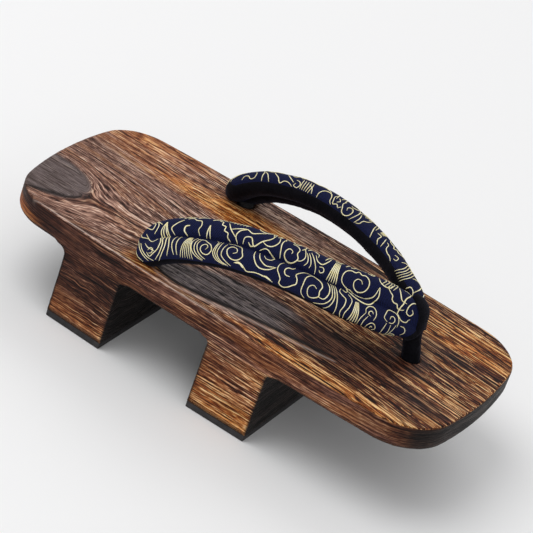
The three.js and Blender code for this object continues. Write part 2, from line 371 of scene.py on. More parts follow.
def arc(centre, radius, start, stop, count=ARC_STEPS):
    """Points and outward directions along an arc: centre + radius x (cos, sin)."""
    angle = np.linspace(start, stop, count)
    outward = np.stack([np.cos(angle), np.sin(angle)], axis=-1)
    return centre + radius * outward, outward


def angle_of(vector):
    """The direction of a flat vector, in radians from +x."""
    return atan2(vector[1], vector[0])


side, toe_end, toe_corner = corner_centre(1, TOE_RADIUS, TOE_CORNER)
side, heel_end, heel_corner = corner_centre(-1, HEEL_RADIUS, HEEL_CORNER)
toe_turns = angle_of(toe_corner - toe_end), angle_of(toe_corner - side)
heel_turns = angle_of(heel_corner - side), angle_of(heel_corner - heel_end)
arcs = [
    arc(toe_end, TOE_RADIUS, 0, toe_turns[0]),
    arc(toe_corner, TOE_CORNER, *toe_turns),
    arc(side, SIDE_RADIUS, toe_turns[1], heel_turns[0], SIDE_STEPS),
    arc(heel_corner, HEEL_CORNER, *heel_turns),
    arc(heel_end, HEEL_RADIUS, heel_turns[1], pi),
]
outline = np.concatenate([points for points, outward in arcs])
outward = np.concatenate([outward for points, outward in arcs])
walked = np.concatenate([[0], np.cumsum(np.linalg.norm(np.diff(outline, axis=0), axis=1))])
toe_mid = np.interp(sum(toe_turns) / 2, np.linspace(*toe_turns, ARC_STEPS), walked[TOE_CORNER_PART])
heel_mid = np.interp(sum(heel_turns) / 2, np.linspace(*heel_turns, ARC_STEPS), walked[HEEL_CORNER_PART])
print("half outline", round(walked[-1], 1), "mm")


def outline_at(distance):
    """Place and outward direction at a distance from the toe's tip along the outline, by interpolation.
    Negative distances run along the other half, mirrored in y."""
    distance = np.asarray(distance, float)
    mirror = np.where(distance < 0, -1.0, 1.0)
    place = [np.interp(np.abs(distance), walked, outline[:, axis]) for axis in (0, 1)]
    out = [np.interp(np.abs(distance), walked, outward[:, axis]) for axis in (0, 1)]
    size = np.hypot(*out)
    return np.stack([place[0], place[1] * mirror, out[0] / size, out[1] * mirror / size], axis=-1)


def along_side(x, values):
    """A value kept for each outline point, such as its distance or its y, where the long side is at x."""
    return np.interp(-x, -outline[SIDE_PART, 0], values[SIDE_PART])


# %% [markdown]
# The block is cut into five stretches along its length: heel, rear tooth, middle, front tooth and toe.
# Each stretch is filled by a Coons patch, which blends four border lines into a surface: that keeps the
# grid straight across the teeth and lets it bend into the round ends.

# %% Columns and rows of the grid
ACROSS = 160  # about 0.8 mm apart
STRETCH_COLUMNS = {"heel": 32, "rear": 24, "middle": 34, "front": 23, "toe": 58}
tooth_edges = [
    (back - back_fillet, front + front_fillet) for back, front, back_fillet, front_fillet in TEETH.values()
]
cuts = [along_side(x, walked) for pair in tooth_edges for x in pair]
stops = [heel_mid, *cuts, toe_mid]
station = {
    name: np.linspace(stops[i], stops[i + 1], count + 1)
    for i, (name, count) in enumerate(STRETCH_COLUMNS.items())
}
heel_line = np.linspace(-1, 1, ACROSS + 1)
heel_line = np.where(heel_line < 0, -1, 1) * (walked[-1] - np.abs(heel_line) * (walked[-1] - heel_mid))
toe_line = np.linspace(-toe_mid, toe_mid, ACROSS + 1)


def level(distance, inset, z):
    """Points of the outline at these distances, drawn in by inset, at height z."""
    at = outline_at(distance)
    flat = at[..., :2] - at[..., 2:] * np.asarray(inset)[..., None]
    return np.concatenate([flat, np.broadcast_to(z, flat.shape[:-1])[..., None]], axis=-1)


def coons(low, high, start, end):
    """A patch between four borders: the two long ones blended across, plus the two short ones blended
    along, less the corners blended both ways."""
    along = np.linspace(0, 1, len(low))[:, None, None]
    across = np.linspace(0, 1, len(start))[None, :, None]
    ruled = low[:, None] * (1 - across) + high[:, None] * across
    other = start[None] * (1 - along) + end[None] * along
    corners = (start[0] * (1 - across) + start[-1] * across) * (1 - along)
    corners = corners + (end[0] * (1 - across) + end[-1] * across) * along
    return ruled + other - corners


def straight(low, high):
    """A straight border across the board from one point to the other."""
    share = np.linspace(0, 1, ACROSS + 1)[:, None]
    return low * (1 - share) + high * share


# %% Footbed, wall and underside
def bevel(name, distance):
    """How much of the lower bevel there is: none on a tooth, all of it 5 mm away from one and beyond."""
    x = outline_at(distance)[..., 0]
    if name in TEETH:
        return np.zeros_like(x)
    away = np.min([np.maximum(first - x, x - last) for first, last in tooth_edges], axis=0)
    return ramp(away, 0, 5)


grids = []
for name, distance in station.items():
    share = bevel(name, distance)
    inset = np.where(EDGE_Z[:, None] < WALL_MIDDLE_Z, EDGE_INSET[:, None] * share, EDGE_INSET[:, None])
    for mirror in (1, -1):
        grids.append(level(np.broadcast_to(distance * mirror, inset.shape), inset, EDGE_Z[:, None]))
    for row in (0,) if name in TEETH else (0, -1):
        low, high = (level(distance * mirror, inset[row], EDGE_Z[row]) for mirror in (-1, 1))
        start, end = straight(low[0], high[0]), straight(low[-1], high[-1])
        if name == "heel":
            start = level(heel_line, EDGE_INSET[row], EDGE_Z[row])
        if name == "toe":
            end = level(toe_line, EDGE_INSET[row], EDGE_Z[row])
        grids.append(coons(low, high, start, end))
for line in (heel_line, toe_line):
    inset = np.broadcast_to(EDGE_INSET[:, None], (len(EDGE_Z), len(line)))
    grids.append(level(np.broadcast_to(line, inset.shape), inset, EDGE_Z[:, None]))

# %% Teeth
TOOTH_ROWS, FILLET_ROWS = 26, 8
FILLET_DEPTH = 5.0  # mm of each tooth's top that has the close rows, at least the largest fillet
drop = np.concatenate([
    np.linspace(0, 1, FILLET_ROWS + 1)[:-1] ** 2 * FILLET_DEPTH,
    np.linspace(FILLET_DEPTH, UNDERSIDE_Z - TOOTH_FOOT_Z, TOOTH_ROWS - FILLET_ROWS),
])
for name, (back, front, back_fillet, front_fillet) in TEETH.items():
    distance = station[name]
    at = outline_at(distance)
    share = np.linspace(0, 1, len(distance))[None, :]
    depth = np.minimum(drop / back_fillet, 1)
    back_x = back - back_fillet + back_fillet * np.sqrt(1 - (1 - depth) ** 2)
    depth = np.minimum(drop / front_fillet, 1)
    front_x = front + front_fillet - front_fillet * np.sqrt(1 - (1 - depth) ** 2)
    x = back_x[:, None] * (1 - share) + front_x[:, None] * share
    y = along_side(x, outline[:, 1])
    z = np.broadcast_to((UNDERSIDE_Z - drop)[:, None], x.shape)
    x[0], y[0] = at[:, 0], at[:, 1]
    sides = [np.stack([x, y * mirror, z], axis=-1) for mirror in (1, -1)]
    grids += sides
    across = np.linspace(0, 1, ACROSS + 1)[None, :, None]
    for column in (0, -1):
        grids.append(sides[1][:, column][:, None] * (1 - across) + sides[0][:, column][:, None] * across)
    foot = sides[1][-1][:, None] * (1 - across) + sides[0][-1][:, None] * across
    grids.append(foot)

block = build("wood_block", grids)
say(block)

# %% [markdown]
# ## Brushed relief
# The block is scorched and then brushed with wire along the grain, which wears the soft early wood away
# and leaves the hard late wood standing as fine ridges. The grain is not straight: it swirls round a
# knot at the heel. Water that flows round a stone follows the same lines, so the same formula bends it.

# %% Where the grain runs
KNOT = {"x": -129.0, "y": -29.0, "reach_x": 29.0, "reach_y": 20.0}
KNOT_RIM = 1.02  # r^2 at the knot's edge


def flow(points, normals):
    """Grain coordinates in mm: along the fibres, across them in the footbed, and down into the block.
    Far from the knot they are x, y and z. Near it, y is the stream line of water that passes an oval
    stone, y(1 - 1/r^2), where r is the distance in the stone's own sizes; inside it the grain is
    straight. On the upright faces the fibres run level, round the corners too: there the way along is
    x plus or minus (62 - |y|), which counts on past the end of the long side. Lattice noise makes the
    grain waver, most of all beside the knot."""
    x, y, z = points.T
    near_x, near_y = (x - KNOT["x"]) / KNOT["reach_x"], (y - KNOT["y"]) / KNOT["reach_y"]
    square = near_x ** 2 + near_y ** 2
    outside = 1 - 1 / np.maximum(square, KNOT_RIM)
    share = np.where(square > KNOT_RIM, outside, 0.02 + 0.6 * np.maximum(KNOT_RIM - square, 0))
    bend = (KNOT["y"] + near_y * share * KNOT["reach_y"] - y) * ramp(square, 14, 3)
    bend *= ramp(square, 0.8, KNOT_RIM)
    crinkle = np.maximum(bell(x, -84, 24) * bell(y, -38, 20), 0.7 * bell(square, 1.3, 0.7))
    bend += (lattice(points, (7, 5, 9), 11) * 1.1 + lattice(points, (3.2, 2.2, 9), 16) * 0.8) * crinkle
    bend += lattice(points, (40, 17, 17), 12) * 1.7 + lattice(points, (14, 7, 9), 13) * 0.3
    bend += 0.085 * np.maximum(x - 20, 0)
    low_heel = ramp(z, 40, 30) * ramp(x, -20, -40)
    depth = z + lattice(points, (70, 30, 16), 14) * 1.2
    depth += lattice(points, (16, 9, 8), 15) * (0.15 + 1.3 * low_heel)
    depth += lattice(points, (4.5, 9, 3), 17) * (0.2 + 0.5 * low_heel)
    upright = np.abs(normals[:, 2]) < 0.5
    along = x + np.where(upright, np.sign(x) * (WIDTH / 2 - np.abs(y)), 0)
    return np.stack([along, np.where(upright, 0, y + bend), depth], axis=-1)


def ridges(grain):
    """Height of the brushed ridges from -1 to 1: noise in cells far longer than they are wide."""
    coarse = lattice(grain, (44, 3.1, 3.1), 21)
    fine = lattice(grain, (20, 1.7, 1.7), 22)
    return 0.55 * coarse + 0.45 * fine


def on_knot(points):
    """1 on the knot, which is too hard for the brush to leave much relief in it, and 0 off it."""
    away_x = (points[:, 0] - KNOT["x"]) / KNOT["reach_x"]
    away_y = (points[:, 1] - KNOT["y"]) / KNOT["reach_y"]
    return ramp(away_x ** 2 + away_y ** 2, 1.15, 0.85)


RELIEF = 0.12  # mm, half the height from groove to ridge
points = read_points(block.data)
normals = read_points(block.data, "normal")
height = ridges(flow(points, normals)) * RELIEF * (1 - 0.7 * on_knot(points))
flat_foot = points[:, 2] < TOOTH_FOOT_Z + 0.3
move_points(block.data, points + normals * (height * ~flat_foot)[:, None])

# %% [markdown]
# ## Cord holes
# Each hole goes straight through the board. Its top edge is eased with a chamfer, and underneath a wider
# recess takes the knot. The drill is a solid of revolution, a profile turned round an axis, and a
# Boolean difference takes it out of the block.

# %% Drill the holes
HOLES = {"front": (90.0, 0.0), "rear_left": (-43.4, 46.8), "rear_right": (-43.4, -46.8)}
HOLE_RADIUS, RECESS_RADIUS, RECESS_TOP_Z = 5.0, 7.0, 47.3
CHAMFER, OVERSHOOT = 0.8, 0.4  # mm; the chamfer's cone goes on past the footbed
DRILL_LOW, DRILL_HIGH = 36.0, 62.0  # clear of the board below and above
WIDE_RADIUS = HOLE_RADIUS + CHAMFER + OVERSHOOT
DRILL = np.array([
    (0, DRILL_LOW), (RECESS_RADIUS, DRILL_LOW), (RECESS_RADIUS, RECESS_TOP_Z),
    (HOLE_RADIUS, RECESS_TOP_Z), (HOLE_RADIUS, FOOTBED_Z - CHAMFER),
    (WIDE_RADIUS, FOOTBED_Z + OVERSHOOT), (WIDE_RADIUS, DRILL_HIGH), (0, DRILL_HIGH),
])


def turned(profile, x, y, steps=48):
    """A profile of (radius, z) rows turned round a vertical axis: (r cos a, r sin a, z)."""
    angle = 2 * pi * np.arange(steps) / steps
    radius, z = profile[:, :1], np.broadcast_to(profile[:, 1:], (len(profile), steps))
    return np.stack([x + radius * np.cos(angle), y + radius * np.sin(angle), z], axis=-1)


drill = build("drill", [(turned(DRILL, x, y), True) for x, y in HOLES.values()])
cut = block.modifiers.new("holes", "BOOLEAN")
cut.operation = "DIFFERENCE"
cut.object = drill
cut.solver = "MANIFOLD"
drilled = block.evaluated_get(bpy.context.evaluated_depsgraph_get())
mesh = bpy.data.meshes.new_from_object(drilled)
block.modifiers.clear()
block.data = mesh
bpy.data.objects.remove(drill)
mesh.set_sharp_from_angle(angle=radians(38))
say(block)
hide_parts("sole_block")

# %% [markdown]
# ## Where the flame and the brush went, and painted light and shade
# The colour of scorched wood is a map of how it was worked. Where the flame stayed it is nearly black, and
# where the brush cut deep it is amber. Some dark patches are painted shadow where the strap and the thong
# shade the footbed, and the near top edge has a painted highlight. Each kind is a list of soft oval patches,
# summed into one number a point, which the material then reads.

# %% Patches of finish and painted shadow
# x, y: middle. reach_x, reach_y: size, all in mm. share: how strong.
AMBER = np.array([
    (-118, 47, 30, 15, 0.5), (-76, 56, 42, 8, 0.35), (-72, 29, 34, 7, 0.6), (-14, 29, 42, 9, 1.1),
    (-30, 31, 28, 10, 1.3), (-46, -51, 9, 7, 0.8), (62, 40, 36, 9, 0.5), (104, 33, 38, 5, 1.7),
    (112, 47, 30, 5, 1.1), (60, -58, 55, 3, 0.9), (122, -42, 10, 5, 0.6), (118, 12, 20, 3, 0.7),
    (110, -16, 24, 2.5, 0.6), (-46, -52, 10, 8, 1.0), (-20, -58, 60, 3, 0.2),
])
# Dark patches: char, and painted shadow of the strap and the thong round the holes and beside the near leg.
CHAR_AND_SHADOW = np.array([
    (62, -26, 24, 12, 1.6), (88, -9, 13, 13, 1.1), (52, -38, 26, 8, 0.6), (36, 53, 16, 7, 0.4),
    (-60, -52, 16, 7, 0.3), (-4, 12, 30, 6, 0.4), (104, 20, 22, 6, 0.7), (78, -47, 30, 4, 0.5),
    (90, 0, 9, 8, 1.4), (112, -34, 20, 8, 0.8), (-46.5, 47, 8, 7, 1.0), (-47, -46, 8, 7, 1.0),
    (112, 2, 14, 3, 0.6), (80, 56, 30, 4, 0.5), (-118, 20, 24, 6, 0.35), (-98.5, -31, 3.5, 4, 0.8),
])


def patches(table, points):
    """Soft ovals summed: share x exp(-dx^2 - dy^2), with dx and dy in the oval's own sizes."""
    total = np.zeros(len(points))
    for x, y, reach_x, reach_y, share in table:
        total += share * bell(points[:, 0], x, reach_x) * bell(points[:, 1], y, reach_y)
    return total


def stroke(points, route, width):
    """1 on a line through the route's points, down to 1/e at half its width; it tapers to both ends.
    route is (x, y) rows from left to right, joined by straight lookup in x."""
    x, y = points[:, 0], points[:, 1]
    line = np.interp(x, route[:, 0], route[:, 1])
    reach = (x - route[0, 0]) / (route[-1, 0] - route[0, 0])
    taper = np.clip(4 * reach * (1 - reach), 0, 1) ** 0.5
    return bell(y, line, width / 2 * (0.25 + 0.75 * taper)) * (taper > 0)


LENS_LOWER = np.array([
    (-42, -49), (-34, -53), (-24, -54.5), (-10, -52), (5, -48), (22, -44.5), (40, -42), (66, -37),
])
LENS_UPPER = np.array([(-42, -47), (-34, -38), (-20, -28), (0, -21), (22, -19), (44, -24), (66, -36)])
CRACK = np.array([(-126, -50.5), (-119, -46.5), (-112, -43), (-106, -40), (-101.5, -34.5), (-99, -29)])

# Below, each ramp says from where to where in mm a finish grows, each bell where it is and how far it
# reaches, and the number before it how strong it is.
points = read_points(block.data)
normals = read_points(block.data, "normal")
x, y, z = points.T
on_top = ramp(z, 54.5, 56.8) * ramp(normals[:, 2], 0.2, 0.7)
underneath = ramp(-normals[:, 2], 0.3, 0.8)
end_face = ramp(np.abs(normals[:, 0]), 0.4, 0.75)
tooth = ramp(z, 44.5, 41.5)

lens_low = np.interp(x, LENS_LOWER[:, 0], LENS_LOWER[:, 1])
lens_high = np.interp(x, LENS_UPPER[:, 0], LENS_UPPER[:, 1])
lens = ramp(y, lens_low - 0.6, lens_low + 0.8) * ramp(y, lens_high + 2, lens_high - 3)
lens = lens * ramp(x, -43, -38) * ramp(x, 70, 25) * on_top
smooth = np.maximum(lens, on_knot(points) * on_top)

amber = patches(AMBER, points) * on_top * (1 - 0.9 * smooth)
amber += (1 - on_top) * (0.05 + 0.12 * ramp(x, 0, 50)) + 0.25 * tooth * ramp(x, -20, 10)
amber += 0.32 * tooth * ramp(z, 28, 8)
charred = patches(CHAR_AND_SHADOW, points) * on_top
wall = (1 - on_top) * (1 - tooth)
charred += wall * (0.15 - 0.15 * ramp(x, 0, 30) + 0.45 * bell(x, -85, 50) + 0.45 * ramp(x, 80, 105))
charred += wall * 0.45 * bell(x, -108, 14)
charred += tooth * 0.75 * ramp(x, -20, -60) * ramp(z, 5, 30)
heel_wall = wall * ramp(x, -98, -114)
amber += 0.75 * heel_wall * ramp(z, 53, 49)
charred += 0.7 * heel_wall * bell(z, 55, 2.2) - 0.4 * heel_wall * ramp(z, 53, 49)
# Nearly black, partly end-grain char and partly painted shade: the teeth's end faces, the toe end and the
# underside.
black = np.maximum(end_face * tooth, underneath)
black = np.maximum(black, end_face * wall * ramp(x, 70, 124) * 0.95)

gap = half_width(x) - np.abs(y)  # mm in from the nearer long edge
# Painted highlight on the near top edge, where the bevel catches the light: pale at the heel, gold at the
# toe.
rim_highlight = 0.75 * bell(gap, 0.95, 0.3) * ramp(-y, 30, 40) * ramp(z, 55.4, 56.4)
# Painted shade: a dark line 2.6 mm inside the near top edge of the heel half, where the bevel lies in shade.
inner = bell(gap, 2.6, 0.8) * ramp(-y, 30, 40) * on_top
lines = np.maximum(1.3 * stroke(points, LENS_LOWER, 3.6), 0.9 * stroke(points, CRACK, 4.6)) * on_top
lines = np.maximum(lines, 0.6 * inner * ramp(x, 20, -10) * ramp(x, -118, -100))
painted_highlight = rim_highlight * ramp(x, 40, -20) * ramp(x, -125, -100)
# A second painted highlight runs 3.4 mm below the lens's lower border.
painted_highlight += 0.4 * stroke(points, LENS_LOWER - [0, 3.4], 2.4) * on_top
# Painted gold highlight on the near toe edge and a golden band beside it; it goes into the amber share.
gold_highlight = rim_highlight * ramp(x, 0, 40) + 0.8 * bell(gap, 3, 3.5) * on_top * ramp(x, 20, 50) * ramp(-y, 30, 40)
vivid = 1 + 0.45 * ramp(x, -10, 60) * np.maximum(on_top, tooth) - 0.25 * wall
vivid -= 0.28 * ramp(x, -60, -90)
ember = ramp(x, -10, 50) * on_top + (1 - on_top) * 0.55
grain = flow(points, normals)
store(block.data, "grain", grain)
store(block.data, "ridge", ridges(grain))
finishes_and_painted_light = {
    # The amber share here includes the painted gold highlight.
    "amber": amber + 0.7 * gold_highlight, "ember": ember, "vivid": vivid, "smooth": smooth,
    "knot": 0.5 * on_knot(points) * on_top, "charred": charred, "black": black, "lines": lines, "painted_highlight": painted_highlight,
}
for name, values in finishes_and_painted_light.items():
    store(block.data, name, values)
    print(name, "covers", round(float((values > 0.5).mean()) * 100, 1), "% of the points")

# %% [markdown]
# ## Scorched and brushed paulownia
# Paulownia is a pale, light wood; scorching browns its soft wood and brushing bares paler, harder
# lines. Straight-grained wood is drawn with noise that is stretched along the fibres: each fibre line is
# about a millimetre wide and some forty long. Four such noises, for fibres, grooves, years and pores, are
# mixed and sent through colour ramps, one for each finish. A fifth breaks the stored patches into streaks,
# and the patches choose between the ramps.

# %% Wood material
# name: the wood's colour in that finish, from the bottom of a groove (0) to the top of a ridge (1)
RAMPS = {
    "brown": [
        (0.0, "#180b08"), (0.25, "#391e16"), (0.45, "#674438"), (0.62, "#8e6a5b"), (0.8, "#bc927d"),
        (1.0, "#e6c8b4"),
    ],
    "ember": [
        (0.0, "#0d0302"), (0.28, "#1f0703"), (0.5, "#431608"), (0.64, "#602812"), (0.78, "#884a26"),
        (0.92, "#c2834c"), (1.0, "#f2c68e"),
    ],
    "golden": [
        (0.0, "#240f06"), (0.22, "#572309"), (0.42, "#93491a"), (0.6, "#bc7134"), (0.8, "#e4a055"),
        (1.0, "#fad293"),
    ],
    # This ramp colours char and the painted shadow of the strap and the thong.
    "soot_and_shadow": [(0.0, "#080303"), (0.25, "#150706"), (0.5, "#2c130d"), (0.75, "#4c291c"), (1.0, "#7e523a")],
    # The lens's and knot's grey, with a painted mauve sheen.
    "grey_and_sheen": [
        (0.0, "#120e0e"), (0.2, "#2e2726"), (0.34, "#5a504f"), (0.6, "#74686a"), (0.85, "#8e8280"),
        (1.0, "#a6988f"),
    ],
    # The black ramp: end-grain char with painted shade on faces turned away from the lights.
    "black": [(0.0, "#050303"), (0.5, "#100a09"), (0.8, "#211613"), (1.0, "#362822")],
}
FIBRE = (1 / 42, 1 / 0.9, 1 / 0.8)  # brushed lines run for 42 mm and lie some 0.9 mm apart
GROOVE = (1 / 60, 1 / 1.3, 1 / 0.8)  # brushed grooves run on for 60 mm and lie some 1.3 mm apart
BAND = (1 / 70, 1 / 4, 1 / 4)  # a year's growth is about 4 mm wide
PORE = (1 / 5, 1 / 0.75, 1 / 0.75)  # the real pores are 0.25 mm wide, drawn at 0.75 mm so that they show
STREAK = (1 / 50, 1 / 6, 1 / 6)  # how far the flame's colour runs along the grain

scorched, tree = new_material("scorched_brushed_paulownia")
sources = {
    name: add(tree, "Attribute", attribute_name=name).outputs["Vector" if name == "grain" else "Fac"]
    for name in ("grain", "ridge", *finishes_and_painted_light)
}
# name: cells to a millimetre along, across and down, then how many finer layers
NOISES = {
    "fibre": (FIBRE, 2), "groove": (GROOVE, 1), "band": (BAND, 2), "pore": (PORE, 1), "streak": (STREAK, 4),
}
noises = {}
for name, (scale, detail) in NOISES.items():
    stretched = add(tree, "VectorMath", {0: sources["grain"], 1: scale}, operation="MULTIPLY")
    noises[name] = add(tree, "TexNoise", {
        "Vector": stretched.outputs[0], "Scale": 1.0, "Detail": detail, "Roughness": 0.6,
    }).outputs["Fac"]
# A groove is where its noise crosses the middle value, so it comes out as a thin unbroken line.
off_line = add(tree, "Math", {0: noises["groove"], 1: 0.5}, operation="SUBTRACT").outputs[0]
off_line = add(tree, "Math", {0: off_line}, operation="ABSOLUTE").outputs[0]
groove = add(tree, "MapRange", {
    "Value": off_line, "From Min": 0.0, "From Max": 0.06, "To Min": -0.55, "To Max": 0.1,
}).outputs[0]
tone = add(tree, "Math", {0: sources["ridge"], 1: 0.05, 2: 0.03}, operation="MULTIPLY_ADD").outputs[0]
tone = add(tree, "Math", {0: tone, 1: groove}, operation="ADD").outputs[0]
# Pores show on the scorched heel; towards the toe the fibre lines take over.
pore_weight = add(tree, "MapRange", {"Value": sources["ember"], "To Min": 1.5, "To Max": 0.7}).outputs[0]
for name, weight in (("fibre", 2.15), ("band", 0.6), ("pore", pore_weight)):
    centred = add(tree, "Math", {0: noises[name], 1: 0.5}, operation="SUBTRACT").outputs[0]
    tone = add(tree, "Math", {0: centred, 1: weight, 2: tone}, operation="MULTIPLY_ADD").outputs[0]
tone = add(tree, "Math", {0: tone, 1: sources["vivid"], 2: 0.5}, operation="MULTIPLY_ADD").outputs[0]

ramps = {
    name: add(tree, "ValToRGB", {"Fac": tone}, stops=stops).outputs[0] for name, stops in RAMPS.items()
}
streaky = {}
for name in ("amber", "charred"):
    spread = add(tree, "Math", {0: noises["streak"], 1: 1.8, 2: sources[name]}, operation="MULTIPLY_ADD")
    streaky[name] = add(tree, "MapRange", {
        "Value": spread.outputs[0], "From Min": 0.9, "From Max": 1.75,
    }).outputs[0]
colour = ramps["brown"]
layers = [
    (sources["ember"], ramps["ember"]), (streaky["amber"], ramps["golden"]),
    (sources["smooth"], ramps["grey_and_sheen"]), (sources["knot"], linear("#54433d")),
    (streaky["charred"], ramps["soot_and_shadow"]), (sources["black"], ramps["black"]),
    # The last two: dark lines, partly painted shade, and the pale painted highlight.
    (sources["lines"], linear("#120605")), (sources["painted_highlight"], linear("#d9c4b8")),
]
for share, over in layers:
    inputs = {0: share, 6: colour, 7: over}
    colour = add(tree, "Mix", inputs, data_type="RGBA", clamp_factor=True).outputs[2]
bump_height = add(tree, "Math", {0: noises["fibre"], 1: noises["pore"]}, operation="ADD").outputs[0]
bump_height = add(tree, "Math", {0: groove, 1: bump_height}, operation="ADD").outputs[0]
bump = add(tree, "Bump", {"Height": bump_height, "Distance": 0.35 * MM, "Strength": 0.7})
gloss = add(tree, "MapRange", {
    "Value": tone, "From Min": 0.1, "From Max": 0.9, "To Min": 0.65, "To Max": 0.45,
})
shader = add(tree, "BsdfPrincipled", {
    "Base Color": colour, "Roughness": gloss.outputs[0], "Normal": bump.outputs[0],
    "Specular IOR Level": 0.15,
})
add(tree, "OutputMaterial", {"Surface": shader.outputs[0]})
block.data.materials.clear()
block.data.materials.append(scorched)

# %% [markdown]
# ## Tread pads
# A sheet of black rubber is glued under each tooth, so that wood doesn't clack or wear on stone. It is
# cut flush with the tooth and its cut edges are a little rounded. A rounded rectangle, the pad seen
# from the side, is carried across the sandal; the last few steps at each end draw it in.

# %% Pads
PAD_TOP_Z = TOOTH_FOOT_Z - 0.12  # mm; the glue line fills the rest
PAD_EDGE = 0.5  # mm, the radius of the cut edges
PAD_HALF_WIDTH = 60.0  # mm, roughly: it only sets where the end edges start to turn
PAD_STEPS, EDGE_STEPS = 60, 5


def rounded_rectangle(x_low, x_high, z_low, z_high, radius, corner_steps=5):
    """Points round a rectangle whose corners are quarter circles, as rows of (x, z)."""
    rows = []
    middles = [(x_low + radius, z_low + radius, pi), (x_high - radius, z_low + radius, 1.5 * pi),
               (x_high - radius, z_high - radius, 0), (x_low + radius, z_high - radius, 0.5 * pi)]
    for x, z, start in middles:
        angle = start + np.linspace(0, pi / 2, corner_steps)
        rows.append(np.stack([x + radius * np.cos(angle), z + radius * np.sin(angle)], axis=-1))
    return np.concatenate(rows)


def with_ends(skin):
    """The skin and, at each end, a cap that runs from its last ring to the ring's middle."""
    caps = [np.stack([row, np.broadcast_to(row.mean(axis=0), row.shape)]) for row in (skin[0], skin[-1])]
    return [(grid, True) for grid in (skin, *caps)]


def pad_skin(back, front):
    """A closed skin: the rectangle at every step across, drawn in by 1 - sqrt(1 - t^2) at its ends, and
    a cap on each end."""
    step = np.linspace(0, 1, EDGE_STEPS)
    inset = PAD_EDGE * (1 - np.sqrt(1 - step ** 2))
    reach = 1 - PAD_EDGE / PAD_HALF_WIDTH * (1 - step)
    across = np.concatenate([-reach[::-1], np.linspace(-reach[0], reach[0], PAD_STEPS)[1:-1], reach])
    inset = np.concatenate([inset[::-1], np.zeros(PAD_STEPS - 2), inset])
    ring = rounded_rectangle(back, front, 0, PAD_TOP_Z, PAD_EDGE)
    middle = np.array([(back + front) / 2, PAD_TOP_Z / 2])
    size = np.array([(front - back) / 2, PAD_TOP_Z / 2])
    ring = middle + (ring - middle)[None] * (1 - inset[:, None, None] / size)
    y = across[:, None] * half_width(ring[..., 0])
    skin = np.stack([ring[..., 0], y, ring[..., 1]], axis=-1)
    return with_ends(skin)


pads = {}
for name, (back, front, *_) in TEETH.items():
    pads[name] = build(f"pad_{name}", pad_skin(back, front))
    pads[name].data.set_sharp_from_angle(angle=radians(50))
    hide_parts(f"tread_pad_{name}")
    say(pads[name])

# %% [markdown]
# ## Moulded rubber
# Carbon black makes the rubber nearly black, and the mould leaves it matt. Dust and small scuffs lighten
# it unevenly, over a few millimetres, and the surface has a fine orange-peel grain.

# %% Rubber material
DUST_PATCH, PEEL = 4 * MM, 0.6 * MM

rubber, tree = new_material("moulded_black_rubber")
place = add(tree, "TexCoord").outputs["Object"]
dust = add(tree, "TexNoise", {"Vector": place, "Scale": 1 / DUST_PATCH, "Detail": 3.0})
peel = add(tree, "TexNoise", {"Vector": place, "Scale": 1 / PEEL, "Detail": 1.0})
shade = add(tree, "ValToRGB", {"Fac": dust.outputs["Fac"]}, stops=[(0.3, "#1b1a1b"), (0.75, "#343133")])
bump = add(tree, "Bump", {"Height": peel.outputs["Fac"], "Distance": 0.1 * MM, "Strength": 0.6})
shader = add(tree, "BsdfPrincipled", {
    "Base Color": shade.outputs[0], "Roughness": 0.72, "Normal": bump.outputs[0],
})
add(tree, "OutputMaterial", {"Surface": shader.outputs[0]})
for pad in pads.values():
    pad.data.materials.append(rubber)

# %% [markdown]
# ## The padded strap
# The hanao is a tube of brocade and velvet stuffed with cotton wadding, stitched along its middle into
# two soft rolls. Each leg is a surface of two lengths in millimetres: p along the leg from the rear
# hole, and q round it from the crease. Working in real lengths makes the woven pattern easy to place.

# %% One leg's middle line and sizes
# x, y, z: middle of the left leg. tilt: degrees its inner edge is lifted. wide, thick: half sizes.
# crease: depth of the valley between the rolls, as a share of thick.
LEG = np.array([
    (-51.8, 46.9, 56.4, 28, 3.4, 1.6, 0.0), (-50.9, 46.8, 58.0, 28, 7.4, 3.9, 0.0),
    (-48.9, 46.7, 60.8, 28, 10.6, 5.5, 0.1), (-45.6, 46.4, 64.5, 29, 12.4, 6.3, 0.3),
    (-40.6, 45.9, 69.3, 30, 12.9, 6.5, 0.55), (-33.5, 45.1, 74.3, 32, 12.9, 6.5, 0.72),
    (-21.5, 43.5, 80.1, 34, 12.9, 6.5, 0.78), (-5.0, 40.9, 85.4, 35, 12.8, 6.5, 0.78),
    (14.0, 37.2, 87.9, 36, 12.7, 6.5, 0.78), (36.0, 31.1, 87.6, 39, 12.7, 6.4, 0.76),
    (55.0, 23.0, 85.6, 45, 13.2, 6.1, 0.7), (69.0, 14.7, 83.4, 50, 13.2, 5.9, 0.62),
    (77.5, 9.0, 81.0, 58, 12.0, 5.7, 0.45), (83.0, 4.8, 77.2, 60, 9.4, 5.4, 0.2),
    (86.0, 2.0, 71.8, 50, 6.2, 4.8, 0.0),
])


